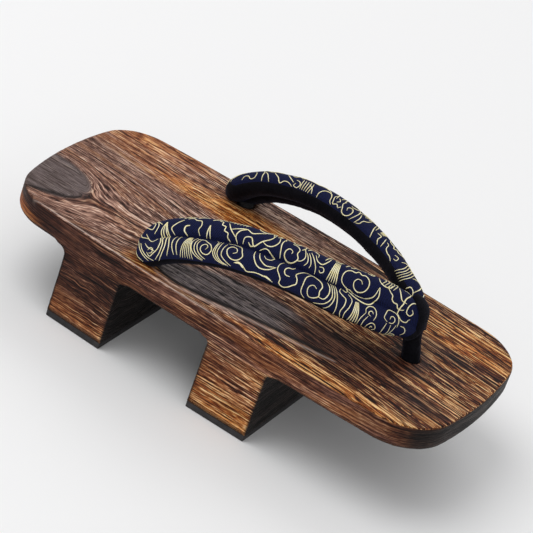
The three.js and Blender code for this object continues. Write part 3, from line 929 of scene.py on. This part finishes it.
def through(rows, at, points=3):
    """A smooth curve through table rows: cubic Hermite pieces over the chord length of the first
    columns, whose slopes are weighted means of the two neighbouring chords. Returns values and slopes."""
    key = np.concatenate([[0], np.cumsum(np.linalg.norm(np.diff(rows[:, :points], axis=0), axis=1))])
    step = np.diff(key)[:, None]
    chord = np.diff(rows, axis=0) / step
    mean = (chord[:-1] * step[1:] + chord[1:] * step[:-1]) / (step[1:] + step[:-1])
    slope = np.concatenate([chord[:1], mean, chord[-1:]])
    at = np.clip(at, 0, key[-1])
    piece = np.clip(np.searchsorted(key, at, side="right") - 1, 0, len(step) - 1)
    h = step[piece]
    t = (at[..., None] - key[piece][..., None]) / h
    low, high = rows[piece], rows[piece + 1]
    from_low, from_high = slope[piece] * h, slope[piece + 1] * h
    value = (2 * t ** 3 - 3 * t ** 2 + 1) * low + (t ** 3 - 2 * t ** 2 + t) * from_low
    value = value + (3 * t ** 2 - 2 * t ** 3) * high + (t ** 3 - t ** 2) * from_high
    rate = (6 * t ** 2 - 6 * t) * (low - high) / h + (3 * t ** 2 - 4 * t + 1) * slope[piece]
    rate = rate + (3 * t ** 2 - 2 * t) * slope[piece + 1]
    return value, rate


LEG_GAP = 0.35  # mm between the leg and the footbed
FREE_UP_TO_X = 30.0  # past here the middle plane keeps each leg on its own side
MEETING_SOFTNESS = 0.3  # mm^2: how gently the legs flatten where they press on each other
LEG_LENGTH = np.linalg.norm(np.diff(LEG[:, :3], axis=0), axis=1).sum()
print("each leg is", round(float(LEG_LENGTH), 1), "mm along its middle")


def puff(p, q, side):
    """The wadding's unevenness: soft lumps 7 to 10 mm across, and short puckers beside the edge seams."""
    place = np.stack([p, q, np.zeros_like(q)], axis=-1)
    lumps = lattice(place, (10, 7, 1), 40 + side) * 0.20
    return lumps + lattice(place, (2.4, 12, 1), 42 + side) * 0.10 * ramp(np.abs(q), 11, 16)


def leg_surface(p, q, side, proud=0.0):
    """A point of the leg at p along and q round it, in mm. The section is a flat oval: a straight top
    and bottom, |q| under wide - thick, and half circles of radius thick at its two edges. The stitching
    pulls it into two round rolls: crease x (1 - sqrt(1 - t^2)), where t runs from 0 on a roll's middle to
    1 in the crease. side is 1 for the left leg and -1 for the right."""
    row, rate = through(LEG, p)
    centre, tilt = row[..., :3], np.radians(row[..., 3])
    wide, thick, crease = row[..., 4], row[..., 5], row[..., 6]
    forward = rate[..., :3] / np.linalg.norm(rate[..., :3], axis=-1, keepdims=True)
    inward = -np.cross([0.0, 0.0, 1.0], forward)
    inward /= np.linalg.norm(inward, axis=-1, keepdims=True)
    normal = np.cross(inward, forward)
    across = np.cos(tilt)[..., None] * inward + np.sin(tilt)[..., None] * normal
    face = -np.sin(tilt)[..., None] * inward + np.cos(tilt)[..., None] * normal
    proud = proud + puff(p, q, side) * np.clip(thick / 5, 0, 1)
    flat = np.maximum(wide - thick, 0)
    bend = np.clip((np.abs(q) - flat) / thick, 0, pi)
    reach = np.minimum(np.abs(q), flat) + (thick + proud) * np.sin(bend)
    reach = reach - np.clip(np.abs(q) - flat - pi * thick, 0, None)
    inner = np.clip(1 - 2 * reach / wide, 0, 0.99)
    dent = crease * np.where(bend < pi / 2, 1.0, 0.6) * (1 - np.sqrt(1 - inner ** 2))
    rise = (thick * (1 - dent) + proud) * np.cos(bend)
    point = centre + across * (np.sign(q) * reach)[..., None] + face * rise[..., None]
    y = point[..., 1]
    kept = (y + np.sqrt(y ** 2 + MEETING_SOFTNESS)) / 2
    point[..., 1] = np.where(point[..., 0] > FREE_UP_TO_X, kept, y) * side
    point[..., 2] = np.maximum(point[..., 2], FOOTBED_Z + LEG_GAP)
    return point


# %% Both legs
LEG_STEPS, ROUND_STEPS = 300, 112
VELVET_NOSE = 4.0  # mm at the nose that the velvet band hides
OUTER_SEAM, INNER_SEAM = -0.47, 0.53  # where brocade meets velvet, as shares of the way round to underneath


def inner_seam(p):
    """Where the inner seam lies: it climbs towards the top over the last 14 mm before the rear hole."""
    return INNER_SEAM - 0.22 * ramp(p, 14, 3)


def leg_skin(side):
    """The leg's closed skin: q runs once round at every step of p. A groove marks the two edge seams."""
    p = np.linspace(0, LEG_LENGTH, LEG_STEPS)[:, None]
    row, _ = through(LEG, p[:, 0])
    half_round = 2 * np.maximum(row[:, 4] - row[:, 5], 0) + pi * row[:, 5]
    share = np.arange(-ROUND_STEPS // 2, ROUND_STEPS // 2) / (ROUND_STEPS // 2)
    q = share[None, :] * half_round[:, None]
    p, share = p + 0 * q, share[None, :] + 0 * q
    groove = -0.35 * (bell(share, OUTER_SEAM, 0.018) + bell(share, inner_seam(p), 0.018))
    return np.concatenate([leg_surface(p, q, side, groove), np.stack([p, q, share], axis=-1)], axis=-1)


legs = {}
for name, side in (("left", 1), ("right", -1)):
    legs[name] = build(f"strap_{name}", with_ends(leg_skin(side)), extra=("p", "q", "share"))
    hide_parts("strap")
    say(legs[name])

# %% [markdown]
# ## Brocade and velvet
# The top of the strap is navy satin brocade: close, fine diagonal ribs of cotton with a dull sheen. Its
# underside, which touches the foot, is black velvet, whose upright pile drinks the light and only shines
# at grazing angles, which is what the sheen layer of the shader is for. The real ribs are 0.3 mm apart,
# too fine to show, so they are drawn at 0.7 mm.


# %% Brocade and velvet materials
def face_means(mesh, name):
    """The mean of a point attribute over each face, by adding up its corners in one pass."""
    values = np.empty(len(mesh.vertices), np.float32)
    mesh.attributes[name].data.foreach_get("value", values)
    corner = np.empty(len(mesh.loops), np.int32)
    mesh.loops.foreach_get("vertex_index", corner)
    first = np.empty(len(mesh.polygons), np.int32)
    mesh.polygons.foreach_get("loop_start", first)
    return np.add.reduceat(values[corner], first) / np.diff(np.append(first, len(corner)))


RIB_SCALE = 0.62  # a diagonal wave's ribs are 2 pi / (10 x scale x sqrt 2) apart, which is 0.72 mm
SLUB = 1.6  # to a millimetre: threads are uneven over some 0.6 mm
PILE_TUFT = 0.9 * MM  # the real tufts are finer, and are drawn as coarse as they need to show
PILE_LAY = 9 * MM  # how far the pile leans one way

brocade, tree = new_material("navy_cotton_brocade")
along = add(tree, "Attribute", attribute_name="p").outputs["Fac"]
round_it = add(tree, "Attribute", attribute_name="q").outputs["Fac"]
cloth = add(tree, "CombineXYZ", {"X": along, "Y": round_it}).outputs[0]
ribs = add(tree, "TexWave", {
    "Vector": cloth, "Scale": RIB_SCALE, "Distortion": 0.6, "Detail": 1.0, "Detail Scale": 3.0,
}, wave_type="BANDS", bands_direction="DIAGONAL")
slub = add(tree, "TexNoise", {"Vector": cloth, "Scale": SLUB, "Detail": 3.0})
tone = add(tree, "Math", {0: ribs.outputs["Fac"], 1: 0.35, 2: 0.05}, operation="MULTIPLY_ADD")
tone = add(tree, "Math", {0: slub.outputs["Fac"], 1: 0.75, 2: tone.outputs[0]}, operation="MULTIPLY_ADD")
NAVY = [(0.3, "#03050e"), (0.52, "#080d26"), (0.78, "#161d4a")]
navy = add(tree, "ValToRGB", {"Fac": tone.outputs[0]}, stops=NAVY)
bump = add(tree, "Bump", {"Height": tone.outputs[0], "Distance": 0.12 * MM, "Strength": 0.7})
shader = add(tree, "BsdfPrincipled", {
    "Base Color": navy.outputs[0], "Roughness": 0.8, "Specular IOR Level": 0.14, "Normal": bump.outputs[0],
    "Sheen Weight": 0.04, "Sheen Roughness": 0.5, "Sheen Tint": linear("#7078a8"),
})
add(tree, "OutputMaterial", {"Surface": shader.outputs[0]})

velvet, tree = new_material("black_cotton_velvet")
place = add(tree, "TexCoord").outputs["Object"]
pile = add(tree, "TexNoise", {"Vector": place, "Scale": 1 / PILE_TUFT, "Detail": 3.0, "Roughness": 0.7})
lay = add(tree, "TexNoise", {"Vector": place, "Scale": 1 / PILE_LAY, "Detail": 2.0})
shade = add(tree, "Math", {0: pile.outputs["Fac"], 1: lay.outputs["Fac"]}, operation="MULTIPLY")
black = add(tree, "ValToRGB", {"Fac": shade.outputs[0]}, stops=[(0.15, "#040407"), (0.45, "#121117")])
bump = add(tree, "Bump", {"Height": pile.outputs["Fac"], "Distance": 0.3 * MM, "Strength": 0.8})
shader = add(tree, "BsdfPrincipled", {
    "Base Color": black.outputs[0], "Roughness": 0.95, "Specular IOR Level": 0.1, "Normal": bump.outputs[0],
    "Sheen Weight": 0.35, "Sheen Roughness": 0.4, "Sheen Tint": linear("#5c5c70"),
})
add(tree, "OutputMaterial", {"Surface": shader.outputs[0]})
for leg in legs.values():
    leg.data.materials.append(brocade)
    leg.data.materials.append(velvet)
    share, along_leg = face_means(leg.data, "share"), face_means(leg.data, "p")
    under = (share < OUTER_SEAM) | (share > inner_seam(along_leg))
    under |= along_leg > LEG_LENGTH - VELVET_NOSE
    leg.data.polygons.foreach_set("material_index", under.astype(np.int32))

# %% [markdown]
# ## Clouds and streams in gold
# Curling clouds and running water are old patterns that any weaver may use. They are drawn here as a
# weaver charts them: lines placed one by one on the flat cloth, in millimetres along and round the leg. A
# cloud is one line with a scalloped outer turn and a curled end, and a stream is a sheaf of lines that
# blend from one edge of the water to the other.

# %% Kinds of stroke
STEPS_PER_MM = 2.4
SHEAF_STEPS = 44


def line(places, steps=None):
    """One smooth line through places given as p, q, p, q, ... Its steps follow its length unless given."""
    keys = np.array(places, float).reshape(-1, 2)
    reach = np.linalg.norm(np.diff(keys, axis=0), axis=1).sum()
    return through(keys, np.linspace(0, reach, steps or int(STEPS_PER_MM * reach) + 10), 2)[0]


def sheaf(count, first, last):
    """count lines that blend from the first line to the last one."""
    first, last = line(first, SHEAF_STEPS), line(last, SHEAF_STEPS)
    return [first * (1 - share) + last * share for share in np.linspace(0, 1, count)]


# %% The chart of one leg
# width, then p and q of each place
LINES = [
    # the rear end
    (0.57, 2.6, 3, 5, -3, 8, -9.5, 10.6, -14),
    (0.57, 5.6, -1, 8, -7, 11.4, -12.5, 13.6, -14.8),
    (0.57, 3, 8, 6, 2.6, 9.8, 0.4),
    (0.57, 13.6, 2, 15.6, 5.8, 14, 10.5),
    (0.57, 2.5, -4, 4, -9, 6.5, -13),
    (0.57, 9, -3, 12, -7, 16, -10),
    (0.57, 8.5, 3.5, 11, -1, 14.5, -3.5, 16.5, -2),
    (0.57, 6, 11.5, 9, 7, 12.5, 5, 13.5, 8, 11, 10.5, 9, 13),
    (0.57, 11.5, 12, 14.5, 9.5, 17.5, 6.5),
    (0.53, 12, -8.5, 13.5, -7.5, 15, -8.8, 14, -10.5, 12.3, -10.3),
    # a fan and two short lines
    (0.7, 19.7, 7.5, 17.3, 2.5, 17.5, -1, 19, -5, 18, -9, 15, -11, 12.5, -12, 11.2, -9.5),
    (0.7, 19.7, 7.5, 18.5, 2, 19.5, -3, 20.5, -7, 19, -11, 15, -14.5),
    (0.7, 19.8, 7.5, 20, 2, 21.5, -3, 22, -8, 20, -12, 17, -15.5),
    (0.7, 19.9, 7.5, 21, 1.5, 23, -3, 24.2, -8, 23, -13),
    (0.57, 26.3, -0.5, 25.8, -6, 27, -12.5),
    (0.57, 28.8, -0.5, 28.3, -6, 28.9, -12.5),
    # two wave heads with their streams, outer roll
    (0.53, 37.5, -1, 36.2, -5, 37.2, -9.5, 40, -12.5, 43, -14),
    (0.53, 39, -1.5, 38, -5, 38.5, -9, 41, -12, 43.3, -13.6),
    (0.53, 40.3, -2.4, 39.4, -5, 40, -8.5, 42, -11.2, 44.6, -13),
    (0.61, 37, -0.8, 39, -2, 42, -2, 44, -3.4, 46.3, -5, 47.4, -8.2, 45.5, -10.4, 43, -10, 41.5, -8,
     42, -6, 44, -5, 45.2, -6.5, 44.3, -8),
    (0.53, 47.5, -0.5, 49, -1.5, 49, -5, 48.5, -9, 50.5, -12, 55, -14),
    (0.53, 51.5, -1, 51, -5, 50.8, -9, 53, -12, 57.5, -14),
    (0.53, 54, -2, 53, -6, 53, -9, 55.5, -11.5, 59, -13.5),
    (0.53, 50.2, -1, 49.7, -5, 49.6, -9, 51.8, -12, 56.2, -14),
    (0.66, 54, -1, 57.5, -0.8, 61.4, -2, 62.6, -4.6, 63.6, -7, 61.8, -9.4, 58.5, -9.8, 56, -8, 55.2, -5.2,
     57, -3, 59.5, -3.6, 60.2, -5.5, 58.5, -6.8),
    # a cloud bank along the outer edge and a crescent above it
    (0.74, 60.4, -11.2, 62.6, -10.2, 65, -11.2, 67.6, -13.6, 72, -12.6, 77, -12.6, 82, -13.8),
    (1.2, 61, -11, 63.4, -10.7, 65.6, -12.4),
    (1.1, 75.6, -12.8, 78.2, -12.4, 81, -13.4),
    (0.61, 69.5, 0.6, 72.5, 2.1, 76, 0.6, 78.2, -0.6, 77, -3, 74.6, -3.2, 73, -1.6),
    (0.66, 70.4, -0.6, 72, -4.6, 75.6, -7, 80.6, -6.2),
    (0.74, 68, -0.4, 69, -5, 73, -9.2, 78, -8.4, 81, -6),
    # two clouds
    (0.7, 83.5, -0.5, 82, -3, 82, -6.5, 84, -9, 85, -10.5, 85, -12.5, 87.5, -14, 90, -12.5, 91.5, -10.8,
     92.8, -9.5, 92.5, -7, 91.2, -5, 92.5, -3, 95, -1, 98, -0.3),
    (0.7, 89.5, -1, 88.5, -2.5, 86.5, -3, 85.3, -5, 86.5, -7.3, 88.8, -7.3),
    (0.7, 99, -15, 96.5, -12, 96, -8, 96.5, -3, 98.5, -1, 101, -1.5, 104, -3, 105, -5, 104.5, -7.5,
     105, -10, 103, -12, 101, -12.6, 99, -10, 99, -7.5, 101, -6, 102.7, -7),
    (0.7, 105, -10.3, 107.5, -10.2, 109, -7, 108.5, -3.5, 106.5, -0.5),
    # falling streams
    (0.66, 114, 0, 113.5, -2.5, 115.5, -4, 117.5, -5, 118, -8, 117.3, -12, 118.5, -16),
    (0.57, 118, -2, 120.5, -4, 120.5, -8, 119.5, -12, 120, -16),
    (0.53, 114.8, -0.6, 116.6, -1.4, 117.4, -0.2, 116.2, 0.6),
    # small clouds on stems near the nose
    (0.61, 129, -7.5, 128.5, -5.5, 130, -3.5, 132, -3.2, 134, -5, 134.5, -7, 134, -9.5),
    (0.57, 131.9, -8.1, 130.6, -7.6, 130.5, -6.2, 131.8, -5.5, 132.8, -6.6),
    (0.49, 128.9, -7.5, 127.4, -11, 127.2, -16),
    (0.49, 130.6, -8.6, 129.4, -12, 129.6, -16),
    (0.53, 132, -15.8, 132.4, -12.6, 134, -11, 136, -11.5, 137, -13.5, 136, -15.5),
    (0.53, 134, -14.4, 134.4, -13, 135.3, -13.4),
    (0.61, 141, -6.8, 138.8, -5.5, 139, -3.5, 140, -1, 142.5, -0.5, 145, -1, 147, -3.5, 147.6, -6.5),
    (0.57, 142, -5, 142.3, -3.3, 143.7, -3, 144.8, -4.3, 144, -6.3, 142, -6.8),
    (0.49, 141, -7.5, 140.6, -11, 141, -16),
    (0.49, 143.6, -7.4, 144.2, -11, 144, -16),
    (0.49, 146.6, -6, 146.2, -10, 145.6, -16),
    (0.53, 147, -15, 146.8, -12.5, 148.5, -11, 150.5, -11.5, 151.5, -13.5, 150.5, -15.5),
    (0.53, 148.3, -14, 149.3, -12.8, 150, -13.8),
    # inner roll, from the rear
    (0.66, 28.6, 8.2, 25.4, 6.2, 22.8, 3.6, 24.4, 0.6),
    (0.9, 32.2, 5, 30.2, 4.4, 29.6, 2.4, 31.2, 0.4),
    (0.61, 30, 9.2, 32.6, 10, 34.6, 8.6, 37.2, 8.4, 38, 5.4, 37, 3.4, 37.8, 0.8),
    (0.74, 42.6, 6.4, 41.8, 3, 41.4, 0.3),
    (0.74, 42.6, 6.4, 43, 3, 43.4, 0.3),
    (0.7, 46, 10.5, 48, 10, 48.2, 7.8, 50.2, 7, 50.2, 4.8, 52.2, 3.8, 52.4, 2, 54.2, 0.5),
    (0.66, 51, 10, 53.2, 6, 56.2, 2.8),
    (0.7, 53.2, 6.2, 56.5, 7.6, 60.6, 8.6, 63.5, 7.2, 66.5, 8.6, 69.5, 10.2),
    (0.7, 60.6, 8.6, 57.6, 6.6, 56.4, 3.4, 57.9, 0.4),
    (0.74, 60.6, 0.9, 61, 4, 63.6, 4.9, 66.2, 1.4, 69.4, 4.6, 73.4, 8.2, 74.6, 12),
    (0.66, 66.2, 1.4, 64.6, 1, 63.2, 2.2),
    (0.66, 79.6, 11, 78.8, 7.6, 79.4, 4, 80.3, 0.6),
    (0.66, 69.6, 4.8, 72.4, 3.6, 75, 4.2, 77.2, 7, 77, 10.5),
    # a spiral cloud and its fan
    (0.7, 83.5, 10.2, 86, 10, 87.8, 8, 87.4, 5.8, 88.6, 3.4, 87, 1, 84.2, 0.6, 82, 2.2, 81.8, 4.8,
     83.2, 6.5, 85, 5.6, 84.8, 4.4),
    (0.57, 88, 2.5, 90, 3, 91.5, 5, 91, 8, 89.5, 11),
    (0.57, 91.5, 8.5, 93, 6, 93.5, 3.5, 92.5, 1.8),
    (0.57, 92.5, 9, 94.5, 6, 95.5, 3, 95.3, 1.8),
    (0.57, 93.5, 10, 96.5, 6, 98.3, 3, 99, 0.5),
    (0.66, 96, 9.6, 98, 6.6, 100.4, 6, 102.8, 8.6, 104.2, 12),
    (0.57, 99.8, 4.4, 101.8, 4.6, 102.6, 3, 101.2, 2, 100.2, 2.9),
    # the great cloud before the nose
    (0.7, 122.8, 5.4, 121.8, 6.9, 119.8, 7, 118.4, 5, 119.2, 2.6, 121.8, 1.2, 124.8, 2.2, 126.2, 5.2,
     125.6, 8.6, 123.4, 10.4, 121, 10, 119.6, 11.2, 117.6, 9.8, 115.5, 10, 113, 8.5, 112, 6, 112.5, 3,
     115, 1.2, 117.6, 0.6),
    (0.82, 115.6, 1.2, 122, -2.2, 129.6, -2.6, 132.6, 1.6, 131.8, 7.4),
    (0.66, 117.6, 0.8, 124, -0.6, 130, 1.4, 131.6, 7.2),
    (0.66, 130.6, 13, 131.4, 10.4, 134, 9, 136.4, 9.4, 138, 11.6),
    (0.7, 136, 10, 136, 9, 137.5, 7.5, 139, 6.5, 139.5, 4.5, 141, 3.5, 142.5, 3.5, 143.5, 2, 145.5, 2,
     146.5, 2.8),
    (0.66, 141.6, 12.5, 142.6, 8.8, 144, 6.4, 146.2, 6.2),
    # the spiral on the nose
    (0.7, 148, 15, 146.6, 11, 145.2, 8, 145, 5, 144.6, 2.6, 145.4, -0.6, 148, -2.4, 150.6, -1.8,
     151.8, 0.8),
    (0.66, 152.6, 8, 150.6, 9.4, 148.6, 8, 147.6, 5, 148.6, 2.2, 150.4, 2, 151, 4, 149.8, 5.2),
    (0.57, 149, -5, 151.6, -4.6, 153.6, -6.4, 153, -9),
    # the inner edge, which shows on the far leg
    (0.57, 17.5, 15.8, 19, 13.6, 21, 14, 23, 16, 25, 15.5, 25.5, 13, 24.5, 11),
    (0.57, 30, 17.5, 29.5, 14, 29.3, 11.5, 28, 9.6),
    (0.57, 34.5, 17.4, 33, 14.5, 31.5, 12.5, 29.6, 11),
    (0.66, 34.6, 10.6, 37, 12.5, 39, 14, 41.5, 17, 43.5, 15.5, 46, 15.6, 49, 17.2),
    (0.61, 42.6, 10, 46, 12.8, 49, 14.8),
    (0.57, 50.4, 14.8, 49.8, 16.2, 52, 17, 53.2, 15.2, 52, 13.4, 49.8, 12.8),
    (0.66, 65, 17.4, 65, 14, 66.5, 11.5, 70, 11, 72, 13, 73, 15.5, 74.5, 16.8),
    (0.61, 74, 9.5, 73.2, 11.5, 74, 13.5, 75.4, 15.8, 77.5, 14.8, 79, 16, 80.4, 14.4),
    (0.57, 75.6, 10.6, 77.4, 12.4, 76.4, 13.8),
    (0.66, 80, 10, 79.6, 12.4, 81, 14.5, 82.5, 16.8, 85, 17.2, 87, 15.5, 87, 13, 85, 11.5, 83.2, 12.6,
     84, 14.4),
    (0.61, 88.6, 17.4, 90, 14, 90, 11, 88.6, 8.8),
    (0.61, 93, 16.6, 95, 15.5, 95.4, 13, 97.2, 11.6, 97.6, 8.8),
    (0.61, 92.2, 17, 92.8, 13.6, 91.4, 10.6),
    (0.66, 106, 17.2, 104, 14, 102.5, 11.5, 101.4, 9),
    (0.66, 112.5, 17.2, 110, 14.8, 109.5, 12.5, 106.4, 12.3),
    (0.61, 115, 16.6, 113.5, 13.4, 112, 11),
    (0.66, 114.6, 12.2, 116.4, 12.6, 118, 15, 121, 16.2, 124, 16.4, 127, 17.6),
    (0.57, 124.6, 13.6, 127.6, 13.2, 128.6, 15, 126.6, 15.6),
    (0.61, 145, 18, 145.4, 15.4, 147.6, 14.8, 149.6, 16.4, 149, 18.4),
    (0.57, 57.6, 12.4, 60.4, 14.6, 61.4, 17),
]
# width, number of lines, the first line's places, the last line's places
SHEAVES = [
    (0.49, 6, (33.6, -0.5, 32, -6, 30.6, -13.8), (35, -0.5, 35.8, -6, 37.6, -14)),
    (0.61, 3, (108, 0, 110, -4, 111, -8, 109, -12, 104, -15),
     (110.3, 0, 112.5, -4, 114, -8, 115, -13, 115, -16)),
    (0.74, 5, (106.8, 11, 106, 6, 105.4, 0.4), (109.2, 11, 109.2, 6, 110.6, 0.4)),
    (0.7, 4, (122.6, -4, 122.8, -9, 122.2, -16), (124, -4, 125.4, -9, 126.2, -15.6)),
    (0.53, 5, (54, 17, 53.5, 13, 53, 10.8), (59.2, 17.4, 59.6, 13, 59, 10.8)),
    (0.53, 5, (133.6, 18.6, 134.6, 14, 132, 9.4), (140, 19.4, 141, 14, 138.6, 9)),
]
strokes = [(line(places), width) for width, *places in LINES]
strokes += [(way, width) for width, count, first, last in SHEAVES for way in sheaf(count, first, last)]
print(len(strokes), "strokes on each leg")

# %% [markdown]
# ## Gold thread
# The pattern is floated in gold rayon, a little proud of the satin. Each stroke becomes a flattened
# tube that follows the leg's own surface: its ring has six points, four on top and two sunk in the
# cloth, and it narrows to both ends as a brush stroke does. As real geometry it catches light at its
# edges, which a painted line can't do. Rayon is smooth and lustrous, so it is the glossiest thing on
# the strap, and its twist breaks the gloss into short flecks.

# %% Gold ribbons
THREAD_PROUD = 0.17  # mm
THREAD_SHARE = 0.84  # a stroke's gold covers this much of its charted width at its middle
# across, as a share of the width, and up, as a share of THREAD_PROUD
RING = np.array([(-0.5, -0.5), (-0.42, 0.55), (-0.16, 1.0), (0.16, 1.0), (0.42, 0.55), (0.5, -0.5)])


def ribbon(way, width, side):
    """A stroke's closed skin on the leg: offsets across the line on the flat cloth, then lifted."""
    step = np.gradient(way, axis=0)
    reach = np.concatenate([[0], np.cumsum(np.linalg.norm(np.diff(way, axis=0), axis=1))])
    step /= np.maximum(np.linalg.norm(step, axis=1, keepdims=True), 1e-6)
    aside = np.stack([-step[:, 1], step[:, 0]], axis=-1)
    share = reach / reach[-1]
    body = THREAD_SHARE * width * (0.45 + 0.55 * np.sin(pi * share) ** 0.6)
    flat = way[:, None] + aside[:, None] * (body[:, None] * RING[None, :, 0])[..., None]
    p = np.clip(flat[..., 0], 0.5, LEG_LENGTH - 2)
    skin = leg_surface(p, flat[..., 1], side, THREAD_PROUD * RING[None, :, 1])
    far = np.broadcast_to(reach[:, None], p.shape)
    skin = np.concatenate([skin, far[..., None], np.broadcast_to(RING[:, :1], (*p.shape, 1))], axis=-1)
    return with_ends(skin)


gold_thread, tree = new_material("floated_gold_rayon")
along = add(tree, "Attribute", attribute_name="reach").outputs["Fac"]
aside = add(tree, "Attribute", attribute_name="aside").outputs["Fac"]
place = add(tree, "CombineXYZ", {"X": along, "Y": aside})
# The real twist is some 0.4 mm long. At a scale of 0.5 it is drawn 1.3 mm long, so that it shows.
strand = add(tree, "TexWave", {
    "Vector": place.outputs[0], "Scale": 0.5, "Distortion": 0.5,
}, wave_type="BANDS", bands_direction="DIAGONAL")
patchy = add(tree, "TexNoise", {"Vector": place.outputs[0], "Scale": 0.35, "Detail": 2.0})
tone = add(tree, "Math", {
    0: strand.outputs["Fac"], 1: 0.4, 2: patchy.outputs["Fac"],
}, operation="MULTIPLY_ADD")
GOLD = [(0.25, "#c4ac60"), (0.5, "#f2e29a"), (0.9, "#fffad8")]
yellow = add(tree, "ValToRGB", {"Fac": tone.outputs[0]}, stops=GOLD)
bump = add(tree, "Bump", {"Height": strand.outputs["Fac"], "Distance": 0.08 * MM, "Strength": 0.6})
shader = add(tree, "BsdfPrincipled", {
    "Base Color": yellow.outputs[0], "Roughness": 0.42, "Normal": bump.outputs[0],
})
add(tree, "OutputMaterial", {"Surface": shader.outputs[0]})

for name, side in (("left", 1), ("right", -1)):
    grids = [grid for way, width in strokes for grid in ribbon(way, width, side)]
    pattern = build(f"gold_pattern_{name}", grids, extra=("reach", "aside"))
    pattern.data.materials.append(gold_thread)
    say(pattern)

# %% [markdown]
# ## The toe thong
# A velvet cord comes up out of the front hole, between the toes, and flattens into a band that wraps
# the strap's nose and is stitched down there. It is an oval carried along a bent line, with the oval's
# two half sizes given at each place.

# %% Toe thong
# x, z: middle. wide: half size across the sandal. thick: half size along its bend.
THONG = np.array([
    (90.0, 47.3, 4.5, 4.5), (90.0, 56.0, 4.7, 4.7), (88.8, 61.0, 5.0, 4.8), (87.2, 66.0, 5.2, 4.7),
    (87.2, 71.5, 5.6, 3.4), (88.4, 77.5, 5.6, 2.2), (88.0, 83.5, 5.2, 1.8), (84.6, 88.2, 4.4, 1.5),
    (79.6, 90.4, 3.0, 1.1),
])
LUMP_SHARE, PILE_SHARE = 0.06, 0.03  # how much the wadding and the pile swell the oval


def thong_skin(steps=150, around=48):
    """An oval ring at each step: wide x cos a across, thick x sin a along the bend, softly lumpy."""
    key = np.linspace(0, np.linalg.norm(np.diff(THONG[:, :2], axis=0), axis=1).sum(), steps)
    row, rate = through(THONG, key, 2)
    forward = rate[:, :2] / np.linalg.norm(rate[:, :2], axis=1, keepdims=True)
    angle = 2 * pi * np.arange(around) / around
    round_it = np.stack([np.cos(angle), np.sin(angle)])
    lumps = lattice(np.stack(np.broadcast_arrays(key[:, None], *(3 * round_it)), -1), (4, 2, 2), 51)
    pile = lattice(np.stack(np.broadcast_arrays(key[:, None], *(4 * round_it)), -1), (0.9, 0.8, 0.8), 52)
    swell = 1 + LUMP_SHARE * lumps + PILE_SHARE * pile
    y = row[:, 2:3] * np.cos(angle) * swell
    away = row[:, 3:4] * np.sin(angle) * swell
    x = row[:, :1] - forward[:, 1:] * away
    z = row[:, 1:2] + forward[:, :1] * away
    return with_ends(np.stack([x, y, z], axis=-1))


thong = build("thong", thong_skin())
thong.data.materials.append(velvet)
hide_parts("toe_thong")
say(thong)

# %% [markdown]
# ## Cords and knots underneath
# The strap's ends go down through the board and are knotted under it, half sunk in their recesses. A
# trefoil is the plainest closed knot, and pulled tight it looks like an overhand knot, so each knot is
# a round cord carried along that curve. The cord is twisted black cotton, matt, and its strands are
# drawn at 0.8 mm, coarser than real ones, so that they show.

# %% Cords and knots
OFF_THE_MIDDLE = [0.01, 0.02, 0.6]  # mm, so that the crossed directions are never parallel


def tube(route, radius, around=14, closed=True):
    """A round tube: rings whose axes are the route's direction crossed with the way to its middle."""
    ahead = np.roll(route, -1, axis=0) - np.roll(route, 1, axis=0) if closed else np.gradient(route, axis=0)
    ahead /= np.linalg.norm(ahead, axis=1, keepdims=True)
    side_way = np.cross(ahead, route - route.mean(axis=0) + OFF_THE_MIDDLE)
    side_way /= np.linalg.norm(side_way, axis=1, keepdims=True)
    other = np.cross(ahead, side_way)
    angle = 2 * pi * np.arange(around) / around
    ring = side_way[:, None] * np.cos(angle)[:, None] + other[:, None] * np.sin(angle)[:, None]
    return route[:, None] + radius * ring


KNOT_SPREAD, KNOT_RISE, KNOT_Z, KNOT_CORD = 1.4, 2.5, 42.0, 1.95  # mm; the last is the cord's radius
RISER_RADIUS, RISER_STEPS = 4.1, 24
RISER_LOW, RISER_HIGH = 43.0, 58.6


def knot_skin(x, y, steps=160):
    """A tight trefoil: (sin t + 2 sin 2t, cos t - 2 cos 2t, -sin 3t), scaled to its recess."""
    t = 2 * pi * np.arange(steps) / steps
    flat = KNOT_SPREAD * np.stack([np.sin(t) + 2 * np.sin(2 * t), np.cos(t) - 2 * np.cos(2 * t)], -1)
    route = np.concatenate([flat, -KNOT_RISE * np.sin(3 * t)[:, None]], axis=-1)
    skin = tube(route + [x, y, KNOT_Z], KNOT_CORD)
    return (np.concatenate([skin, skin[:1]]), True)


# %% Cotton material and the three ties
# Twisted cotton is dull and nearly black, and its strands, some 0.8 mm thick, make it look ropy.
STRAND = 0.8 * MM

cotton, tree = new_material("twisted_black_cotton")
place = add(tree, "TexCoord").outputs["Object"]
twist = add(tree, "TexNoise", {"Vector": place, "Scale": 1 / STRAND, "Detail": 2.0})
black = add(tree, "ValToRGB", {"Fac": twist.outputs["Fac"]}, stops=[(0.3, "#0f0f11"), (0.7, "#2b2a2d")])
bump = add(tree, "Bump", {"Height": twist.outputs["Fac"], "Distance": 0.2 * MM, "Strength": 0.7})
shader = add(tree, "BsdfPrincipled", {
    "Base Color": black.outputs[0], "Roughness": 0.85, "Normal": bump.outputs[0],
})
add(tree, "OutputMaterial", {"Surface": shader.outputs[0]})
for name, (x, y) in HOLES.items():
    grids = [knot_skin(x, y)]
    if name != "front":
        rise = np.linspace((x, y, RISER_LOW), (x, y, RISER_HIGH), RISER_STEPS)
        grids += with_ends(tube(rise, RISER_RADIUS, 24, closed=False))
    knot_piece = build(f"tied_{name}", grids)
    knot_piece.data.materials.append(cotton)
    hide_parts(f"knot_{name}")
    say(knot_piece)
